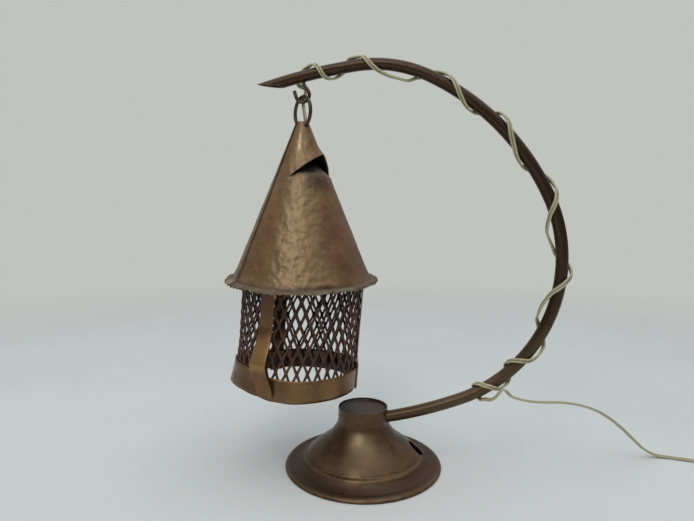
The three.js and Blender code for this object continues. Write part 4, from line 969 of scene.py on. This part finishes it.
def makeArm():
    path = [armSide(lamp['armStart'][0] / math.cos(10.5 * deg) + (armEnd - 10.7) * i / 300, 0, 0) for i in range(301)]
    flats = [Vector((0, 1, 0))] * len(path)
    outer, outerFaces, outerUvs = sweepShape(path, flats, circle(lamp['armRadius'], 40))
    inner, innerFaces, innerUvs = sweepShape(path, flats, circle(lamp['armRadius'] - lamp['armWall'], 40))
    count = len(outer)
    faces = outerFaces[:-2] + [tuple(count + k for k in reversed(face)) for face in innerFaces[:-2]]
    for first in (0, count - 40):
        for k in range(40):
            m = (k + 1) % 40
            faces.append((first + k, first + m, count + first + m, count + first + k))
    piece = meshPiece('armTube', outer + inner, faces, 'stand', 'arm_copper', ('arm_tube',),
                      outerUvs + innerUvs, 50)
    # the long oblique cut at the tip, and the hole for the hook's shank
    tip, heel = armSide(armEnd, lamp['armRadius'], 0), armSide(armEnd - 30, -lamp['armRadius'], 0)
    way = (tip - heel).normalized()
    middle = (tip + heel) / 2
    down = Vector((-way.z, 0, way.x))
    down = down if down.z < 0 else -down
    corners = [middle + way * a + Vector((0, b, 0)) + down * c for a in (-50, 60) for b in (-20, 20) for c in (0, 50)]
    block = bpy.data.objects.new('cutter', bpy.data.meshes.new('cutter'))
    block.data.from_pydata([tuple(p * mm) for p in corners], [],
                           [(0, 1, 3, 2), (4, 6, 7, 5), (0, 4, 5, 1), (2, 3, 7, 6), (0, 2, 6, 4), (1, 5, 7, 3)])
    bpy.context.scene.collection.objects.link(block)
    tidyMesh(block)
    shank = hookPoints()
    cutAway(piece, block, rod(shank[0], shank[2], lamp['wireRadius'] + 0.5))
    tidyMesh(piece, 50)


def hookPoints():
    bend = 7.8
    centre = seatZ + bend
    points = [(seatX + 1, centre + 22), (seatX + 1.1, centre + 17.6), (seatX + 1.5, centre + 12), (seatX + 4.8, centre + 6.8)]
    points += [(seatX + bend * math.cos(a * deg), centre + bend * math.sin(a * deg)) for a in (15, -15, -45, -90, -135, -175)]
    points.append((seatX - bend - 1.8, centre + 5))
    return [Vector((x, 0, z)) for x, z in points]


def makeHookAndRing():
    path = smoothPath(hookPoints(), 0.8)
    flats = [Vector((0, 1, 0))] * len(path)
    verts, faces, uvs = sweepShape(path, flats, circle(lamp['wireRadius'], 24))
    hook = meshPiece('wireHook', verts, faces, 'stand', 'wire', ('hook',), uvs)
    soften(hook, 0.5, 60)
    normal = Vector((-ringWay.y, ringWay.x, 0))
    loop = []
    for i in range(120):
        a = 2 * math.pi * i / 120
        loop.append(Vector((seatX, 0, ringCentre)) + (ringWay * math.cos(a) + Vector((0, 0, 1)) * math.sin(a)) * lamp['ringRadius'])
    verts, faces, uvs = sweepShape(loop, [normal] * len(loop), circle(lamp['wireRadius'], 24), True)
    meshPiece('wireRing', verts, faces, 'ring', 'wire', ('ring',), uvs)


def soften(piece, width, angle=40, segments=2):
    change = piece.modifiers.new('soften', 'BEVEL')
    change.width = width * mm
    change.segments = segments
    change.limit_method = 'ANGLE'
    change.angle_limit = angle * deg


makeArm()
makeHookAndRing()
print('arm, hook and ring made')


def thickSheet(piece, thickness):
    change = piece.modifiers.new('sheet', 'SOLIDIFY')
    change.thickness = thickness * mm
    change.offset = -1
    change.use_even_offset = True


def ventHeight(turn):
    a = (turn + 540) % 360 - 180
    if a <= vent['start'] or a >= vent['end']:
        return vent['low']

    def slant(b):
        side = math.cos((b - 11) * deg)
        return (48.8 - 7.7 * side) / (1 + 0.302 * side)

    if a <= vent['peak']:
        return slant(a)
    return slant(vent['peak']) + (vent['low'] - slant(vent['peak'])) * (a - vent['peak']) / (vent['end'] - vent['peak'])


def ventOpening(turn):
    a = (turn + 540) % 360 - 180
    if a <= vent['start'] or a >= vent['end']:
        return 0
    rise = (a - vent['start']) / (vent['peak'] - 12 - vent['start'])
    fall = (vent['end'] - a) / (vent['end'] - vent['peak'] - 4)
    return math.sin(math.pi / 2 * min(1, rise, fall))


def makeRoof():
    upper = [i / 12 for i in range(13)]
    lower = [(i / 34) ** 1.25 for i in range(35)]
    verts, faces, table = [], [], []
    for i in range(roof['columns']):
        turn = 360 * i / roof['columns'] + vent['end']
        edge = ventHeight(turn)
        opening = ventOpening(turn)
        facing = math.cos((turn - roof['skewTurn']) * deg)
        foot = roof['foot'] + roof['skew'] * facing - 1.5 * (1 - facing ** 2)
        fold = max(5, vent['foldAt'] - edge)
        since = (roof['seamAt'] - turn) % 360
        seam = roof['seamStep'] * (1 - smoothStep(since, 4, 26)) if since < 26 else 0
        column = []
        for side, shares in ((1, upper), (-1, lower)):
            for share in shares:
                down = roof['top'] + (edge - roof['top']) * share if side > 0 else edge + (foot - edge) * share
                away = abs(down - edge) / (15 if side > 0 else fold)
                push = opening * (vent['lip'] * max(0, 1 - away) ** 2 if side > 0 else -vent['dent'] * max(0, 1 - away) ** 1.15)
                dents = 0.22 * math.sin(turn * 0.21 + down * 0.13) * math.sin(down * 0.31 - turn * 0.12)
                dents += 0.3 * math.sin(turn * 0.055 + 1.1) * math.sin(down * 0.06)
                if side < 0 and share == 0 and opening < 1e-6:
                    column.append(column[-1])
                    continue
                column.append(len(verts))
                fade = smoothStep(down, 5, 40)
                flare = roof['flare'] * max(0, 1 - (foot - down) / roof['flareHeight']) ** 2
                verts.append(roofPoint(roofRadius(down) + flare + push + seam + dents * fade, turn, down))
        crimp = math.cos(roof['scallops'] * turn * deg + 1.6 * math.sin(turn * 0.11)) * (0.55 + 0.35 * math.sin(turn * 0.31))
        crimp *= 1 - 0.6 * max(0, facing) ** 3
        sway = math.sin(turn * 0.19 + 2) * 0.5 + math.sin(turn * 0.43) * 0.35
        start = roofRadius(foot) + roof['flare']
        for out, drop, much in roof['rim']:
            column.append(len(verts))
            radius = start + (roof['rimRadius'] - start) * out / 7.8 * (1 + 0.03 * sway) + seam + 0.4 * much * crimp
            drop *= 0.72 + 0.28 * abs(facing)
            verts.append(roofPoint(radius, turn, foot + drop + much * (1.3 * crimp + 0.6 * sway) - 0.6 * much))
        table.append(column)
    for i, here in enumerate(table):
        after = table[(i + 1) % len(table)]
        for k in range(len(here) - 1):
            if k == len(upper) - 1:
                continue
            corners = [here[k], here[k + 1], after[k + 1], after[k]]
            faces.append(tuple(dict.fromkeys(corners)))
    piece = meshPiece('roofCone', verts, faces, None, 'lantern_copper', ('roof_cone',), None, 180)
    thickSheet(piece, roof['sheet'])
    half = ringWay * (roofRadius(0) + 6)
    middle = Vector((seatX, 0, lanternZ))
    cutAway(piece, rod(middle - half, middle + half, lamp['wireRadius'] + 0.8, 40))
    piece.data.set_sharp_from_angle(angle=42 * deg)
    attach(piece, 'lantern')


def makeSleeve():
    columns, tiers = sleeve['columns'], sleeve['tiers']
    step = 360 / columns
    tier = (sleeve['meshBottom'] - sleeve['meshTop']) / (tiers + 1)
    halfWide, halfTall = sleeve['halfWide'], sleeve['halfTall']
    n = sleeve['edgeSteps']
    verts, faces = [], []

    def point(turn, down, tilt):
        turn += sleeve['start']
        outTop, outBottom, lift = keyed(turn % 360, band['keys'])
        out = 0.6 * outBottom * smoothStep(down, 262, 296) + 0.9 * outTop * smoothStep(down, 240, 275)
        down -= lift * smoothStep(down, 200, 285)
        verts.append(sleevePoint(sleeve['radius'] - 0.3 + tilt * sleeve['tilt'] + min(out, outBottom), turn, down))
        return len(verts) - 1

    def side(turn, down, across, along):
        # a lozenge side from its right or left corner to its top or bottom one
        points = []
        for i in range(n + 1):
            t = i / n
            swell = sleeve['bulge'] * math.sin(math.pi * t)
            wide = (halfWide * (1 - t) + swell) * across
            tall = (halfTall * t + swell * 0.4) * along
            points.append(point(turn + wide / sleeve['radius'] / deg, down + tall, along * (t - 0.5) * 1.2))
        return points

    holes = []
    for k in range(tiers):
        down = sleeve['meshTop'] + tier * (k + 1)
        row = []
        for i in range(columns):
            turn = (i + k % 2 / 2) * step
            hole = {name: side(turn, down, across, along) for name, across, along in (
                ('rightUp', 1, -1), ('rightDown', 1, 1), ('leftUp', -1, -1), ('leftDown', -1, 1))}
            hole['leftUp'][n] = hole['rightUp'][n]
            hole['leftDown'][n] = hole['rightDown'][n]
            hole['rightUp'][0] = hole['rightDown'][0]
            hole['leftUp'][0] = hole['leftDown'][0]
            row.append(hole)
        holes.append(row)

    def strip(first, second):
        for a, b, c, d in zip(first, first[1:], second[1:], second):
            faces.append((a, b, c, d))

    for k in range(tiers - 1):
        for i in range(columns):
            hole = holes[k][i]
            right = holes[k + 1][(i + k % 2) % columns]
            left = holes[k + 1][(i + k % 2 - 1) % columns]
            strip(hole['rightDown'], right['leftUp'][::-1])
            strip(hole['leftDown'][::-1], left['rightUp'])
            if k + 2 < tiers:
                below = holes[k + 2][i]
                faces.append((hole['rightDown'][n], left['rightDown'][0], below['rightUp'][n], right['leftDown'][0]))
            else:
                faces.append((hole['rightDown'][n], left['rightDown'][0], right['leftDown'][0]))
    # plain strips above the first and below the last openings
    for k, beside, end, up in ((0, sleeve['meshTop'], sleeve['top'], True),
                               (tiers - 1, sleeve['meshBottom'], sleeve['bottom'], False)):
        near = [point((i + k % 2) * step / 2, beside, 0) for i in range(2 * columns)]
        far = [point((i + k % 2) * step / 2, end, 0) for i in range(2 * columns)]
        for i in range(columns):
            here, after = holes[k][i], holes[k][(i + 1) % columns]
            name, other = ('rightUp', 'leftUp') if up else ('rightDown', 'leftDown')
            a, b, c = near[2 * i], near[2 * i + 1], near[(2 * i + 2) % (2 * columns)]
            faces.append((a, *here[name][::-1], b))
            faces.append((b, *after[other], c))
            inward = holes[k + 1 if up else k - 1][(i + k % 2) % columns]
            faces.append((here[name][0], after[other][0], b))
            if up:
                faces.append((here['rightUp'][0], inward['rightUp'][n], after['leftUp'][0]))
            faces.append((far[2 * i], a, b, far[2 * i + 1]))
            faces.append((far[2 * i + 1], b, c, far[(2 * i + 2) % (2 * columns)]))
    piece = meshPiece('meshSleeve', verts, faces, None, 'mesh_copper', ('mesh_sleeve',), None, 50)
    thickSheet(piece, sleeve['sheet'])
    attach(piece, 'lantern')


def bandPoint(turn, share, thickness=0.0):
    outTop, outBottom, lift = keyed(turn % 360, band['keys'])
    radius = sleeve['radius'] + 0.6 + band['sheet'] + outTop + (outBottom - outTop) * share ** 1.3 + thickness
    ripple = 0.25 * math.sin(turn * 0.17) * math.sin(turn * 0.05 + share * 2)
    return sleevePoint(radius + ripple, turn, band['top'] + band['height'] * share - lift)


def makeBand():
    columns, rows = 240, 8
    verts = [bandPoint(360 * i / columns, k / rows) for i in range(columns) for k in range(rows + 1)]
    faces = []
    for i in range(columns):
        j = (i + 1) % columns
        faces += [(i * (rows + 1) + k, i * (rows + 1) + k + 1, j * (rows + 1) + k + 1, j * (rows + 1) + k) for k in range(rows)]
    piece = meshPiece('bottomBand', verts, faces, None, 'band', ('bottom_band',), None, 60)
    thickSheet(piece, band['sheet'])
    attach(piece, 'lantern')


def makeStraps():
    onSleeve = sleeve['radius'] + 0.6
    onBand = sleeve['radius'] + 0.9 + band['sheet']

    def tab(down):
        return roofRadius(down) - roof['sheet'] / math.cos(22 * deg) - straps['sheet'] - 0.5, down

    top = [tab(sleeve['top'] - 15), tab(sleeve['top'] - 7), (onSleeve, sleeve['top'])]
    straight = [*top, (onSleeve, 200), (onSleeve, 265), (onBand, 271.3), (onBand, 281), (onBand, 298.3)]
    bent = [*top, (onSleeve, 190), (onSleeve + 0.4, 217), (onSleeve + 4, 231), (onSleeve + 10.2, 246.5),
            (onSleeve + 12.4, 253.5), (onSleeve + 11.4, 263.5), (onBand + 7, 276), (onBand + 3.8, 289)]
    for name, turn in straps['turns'].items():
        path = smoothPath([Vector((r, 0, d)) for r, d in (bent if name == 'front' else straight)], 2)
        across = 12
        halfTurn = straps['width'] / 2 / sleeve['radius'] / deg
        verts, faces = [], []
        for p in path:
            for k in range(across + 1):
                share = 2 * k / across - 1
                edge = 0.25 * abs(share) ** 4
                twist = straps['twist'] * smoothStep(p.z, 253, 285) if name == 'front' else 0
                verts.append(sleevePoint(p.x + straps['sheet'] - edge, turn + twist + halfTurn * share, p.z))
        width = across + 1
        for i in range(len(path) - 1):
            faces += [(i * width + k, (i + 1) * width + k, (i + 1) * width + k + 1, i * width + k + 1) for k in range(across)]
        piece = meshPiece('strap' + name.capitalize(), verts, faces, None, 'strap', ('strap_' + name,), None, 60)
        # a lone strip has no inside, so its faces are set to point away from the lantern
        middle = sum((Vector(v) for v in verts), Vector()) / len(verts) * mm
        outward = middle - onLantern((0, 0, -220)) * mm
        outward.z = 0
        if sum((f.normal.dot(outward) for f in piece.data.polygons)) < 0:
            piece.data.flip_normals()
        thickSheet(piece, straps['sheet'])
        soften(piece, 0.25, 50)
        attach(piece, 'lantern')


makeRoof()
makeSleeve()
makeBand()
makeStraps()
print('lantern made')

holder = {'bridge': 87.4, 'radius': 16.5, 'wall': 0.8, 'length': 38, 'core': 9, 'thread': 13.4}


def makeHolder():
    under = holder['bridge'] + 0.3
    shellTop = under + 14
    shellEnd = shellTop + holder['length']
    skirt = holder['radius'] + 0.3 + holder['wall']
    capShape = [(5.2, 0), (7.2, 0), (7.8, 2), (skirt - 4, 5), (skirt - 1, 8.5), (skirt, 13), (skirt, 18), (skirt + 0.3, 18.6),
                (skirt, 19), (skirt - 0.8, 19), (skirt - 0.8, 13), (skirt - 1.8, 9.3), (skirt - 4.8, 5.8), (6.9, 2.8), (6.4, 0.8),
                (5.2, 0.8)]
    lathed('holderCap', [(r, under + d) for r, d in capShape], 'brass', 'holder_cap', 1)
    shell = [(holder['radius'], shellTop), (holder['radius'], shellTop + 22), (holder['radius'] + 0.5, shellTop + 23),
             (holder['radius'], shellTop + 24), (holder['radius'], shellEnd - 0.4), (holder['radius'] - 0.4, shellEnd),
             (holder['radius'] - 0.8, shellEnd - 0.4), (holder['radius'] - 0.8, shellTop)]
    lathed('holderShell', shell, 'brass', 'holder_shell', 1)
    liner = holder['radius'] - holder['wall'] - 0.3
    lathed('holderLiner', [(liner, shellTop + 1), (liner, shellEnd + 1), (liner - 0.8, shellEnd + 1), (liner - 0.8, shellTop + 1)],
           'fibre', 'holder_liner', 0)
    coreTop = shellTop + 2
    coreEnd = coreTop + holder['core']
    core = liner - 1.1
    lathed('holderCore', [(0, coreTop), (core - 2, coreTop), (core, coreTop + 2), (core, coreEnd), (0, coreEnd)],
           'porcelain', 'holder_core', 1)
    lathed('centreContact', [(0, coreEnd + 0.3), (3, coreEnd + 0.3), (3, coreEnd + 1.4), (1.6, coreEnd + 2.6), (0, coreEnd + 3)],
           'brass', 'centre_contact', 1)
    top, foot = holder['bridge'] - 7, holder['bridge'] + 9
    lathed('holderNipple', [(4.9, top), (4.9, foot), (3.5, foot), (3.5, top)], 'brass', 'holder_nipple', 0)
    lathed('cordBush', [(5.9, top - 3), (5.9, top - 0.3), (3.5, top - 0.3), (3.5, top - 3)], 'fibre', 'cord_bush', 1)
    # the screw shell, with a real thread
    verts, faces = [], []
    steps, rows = 72, 66
    for k in range(rows + 1):
        down = coreEnd + 0.3 + 22.4 * k / rows
        for i in range(steps):
            a = 2 * math.pi * i / steps
            wave = math.cos(2 * math.pi * (down / 3.6) + a)
            radius = holder['thread'] + 0.35 * wave
            verts.append(onLantern((radius * math.cos(a), radius * math.sin(a), -down)))
    for k in range(rows):
        faces += [(k * steps + i, (k + 1) * steps + i, (k + 1) * steps + (i + 1) % steps, k * steps + (i + 1) % steps)
                  for i in range(steps)]
    piece = meshPiece('screwShell', verts, faces, None, 'brass', ('screw_shell',), None, 60)
    thickSheet(piece, 0.5)
    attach(piece, 'lantern')


def lathed(name, profile, metal, node, times):
    shape = rounded([(r, -d) for r, d in profile], times) if times else [(r, -d) for r, d in profile]
    verts, faces = latheShape(shape, 72, onLantern)
    return meshPiece(name, verts, faces, 'lantern', metal, (node,))


makeHolder()
print('lampholder made')


def dressNodes():
    # the CAD pieces that stay are inside the base and the lampholder
    slots = {entry['node']: entry['material_slot'] for entry in frame['record']['subparts']}
    for name in ('base_plate', 'base_weight', 'tie_rod', 'tie_rod_lower_nut', 'tie_rod_upper_nut', 'arm_block',
                 'arm_grub_screw', 'holder_bridge', 'holder_locknut', 'terminal_screw_1', 'terminal_screw_2'):
        node = frame['nodes'][name]
        for i in range(len(node.material_slots)):
            node.material_slots[i].material = finish[slots[name]]


dressNodes()


stage = {'wall': shade(192, 195, 190), 'size': 6, 'tint': (0.985, 0.99, 1.0, 1), 'dark': 0.08, 'back': 0.16, 'top': 0.66}


def makeStage():
    # a pale floor that turns into the background's colour well behind the lamp
    floor = Paint('paleFloor', roughness=0.75)
    place = floor.place()
    soft = floor.noise(place, 4, 3, 0.5)
    floor.set('Base Color', floor.mix(soft.between(0.3, 0.7), shade(208, 214, 214), shade(212, 218, 218)))
    x, y = floor.axis(place, 'X'), floor.axis(place, 'Y')
    far = ((x ** 2 + y ** 2) ** 0.5).between(0.75, 1.9)
    glow = floor.add('ShaderNodeEmission', sockets={'Color': stage['wall'], 'Strength': 1.0})
    both = floor.add('ShaderNodeMixShader', sockets={0: far, 2: glow})
    floor.tree.links.new(floor.shader.outputs[0], both.out.node.inputs[1])
    floor.tree.links.new(both.out, floor.tree.nodes['Material Output'].inputs['Surface'])
    mesh = bpy.data.meshes.new('paleFloor')
    size = stage['size']
    mesh.from_pydata([(-size, -size, 0), (size, -size, 0), (size, size, 0), (-size, size, 0)], [], [(0, 1, 2, 3)])
    plane = bpy.data.objects.new('paleFloor', mesh)
    plane.location.z = -0.0002
    mesh.materials.append(floor.material)
    bpy.context.scene.collection.objects.link(plane)


def makeLight(name, place, target, size, power, tint=(1, 1, 1)):
    data = bpy.data.lights.new(name, 'AREA')
    data.shape = 'RECTANGLE'
    data.size, data.size_y = size
    data.energy = power
    data.color = tint
    light = bpy.data.objects.new(name, data)
    light.location = place
    light.rotation_euler = (Vector(target) - Vector(place)).to_track_quat('-Z', 'Y').to_euler()
    bpy.context.scene.collection.objects.link(light)


def makeWorld():
    world = bpy.data.worlds.new('paleRoom')
    world.use_nodes = True
    bpy.context.scene.world = world
    tree = world.node_tree
    background = tree.nodes['Background']
    rays = tree.nodes.new('ShaderNodeLightPath')
    shown = tree.nodes.new('ShaderNodeBackground')
    shown.inputs['Color'].default_value = stage['wall']
    shown.inputs['Strength'].default_value = 1.0
    # the room: bright above, a pale wall behind, dark in front
    way = tree.nodes.new('ShaderNodeTexCoord')
    axes = tree.nodes.new('ShaderNodeSeparateXYZ')
    tree.links.new(way.outputs['Generated'], axes.inputs[0])
    steps = []
    for letter, low, high, amount in (('Z', 0.1, 0.85, stage['top']), ('Y', -0.2, 0.7, stage['back'])):
        step = tree.nodes.new('ShaderNodeMapRange')
        step.interpolation_type = 'SMOOTHSTEP'
        tree.links.new(axes.outputs[letter], step.inputs['Value'])
        for name, value in (('From Min', low), ('From Max', high), ('To Max', amount)):
            step.inputs[name].default_value = value
        steps.append(step)
    total = tree.nodes.new('ShaderNodeMath')
    tree.links.new(steps[0].outputs[0], total.inputs[0])
    tree.links.new(steps[1].outputs[0], total.inputs[1])
    floor = tree.nodes.new('ShaderNodeMath')
    floor.inputs[1].default_value = stage['dark']
    tree.links.new(total.outputs[0], floor.inputs[0])
    tree.links.new(floor.outputs[0], background.inputs['Strength'])
    background.inputs['Color'].default_value = stage['tint']
    choose = tree.nodes.new('ShaderNodeMixShader')
    tree.links.new(rays.outputs['Is Camera Ray'], choose.inputs['Fac'])
    tree.links.new(background.outputs[0], choose.inputs[1])
    tree.links.new(shown.outputs[0], choose.inputs[2])
    tree.links.new(choose.outputs[0], tree.nodes['World Output'].inputs['Surface'])


makeStage()
makeLight('ceilingLight', (0.05, -0.3, 1.7), (0.02, 0, 0.1), (2.2, 1.6), 6.4)
makeLight('roofLight', (-0.2, -1.25, 1.3), (-0.07, 0, 0.28), (0.6, 0.9), 6.2, (1, 0.98, 0.92))
makeWorld()
bpy.context.scene.view_settings.view_transform = 'Standard'

print('stage made')
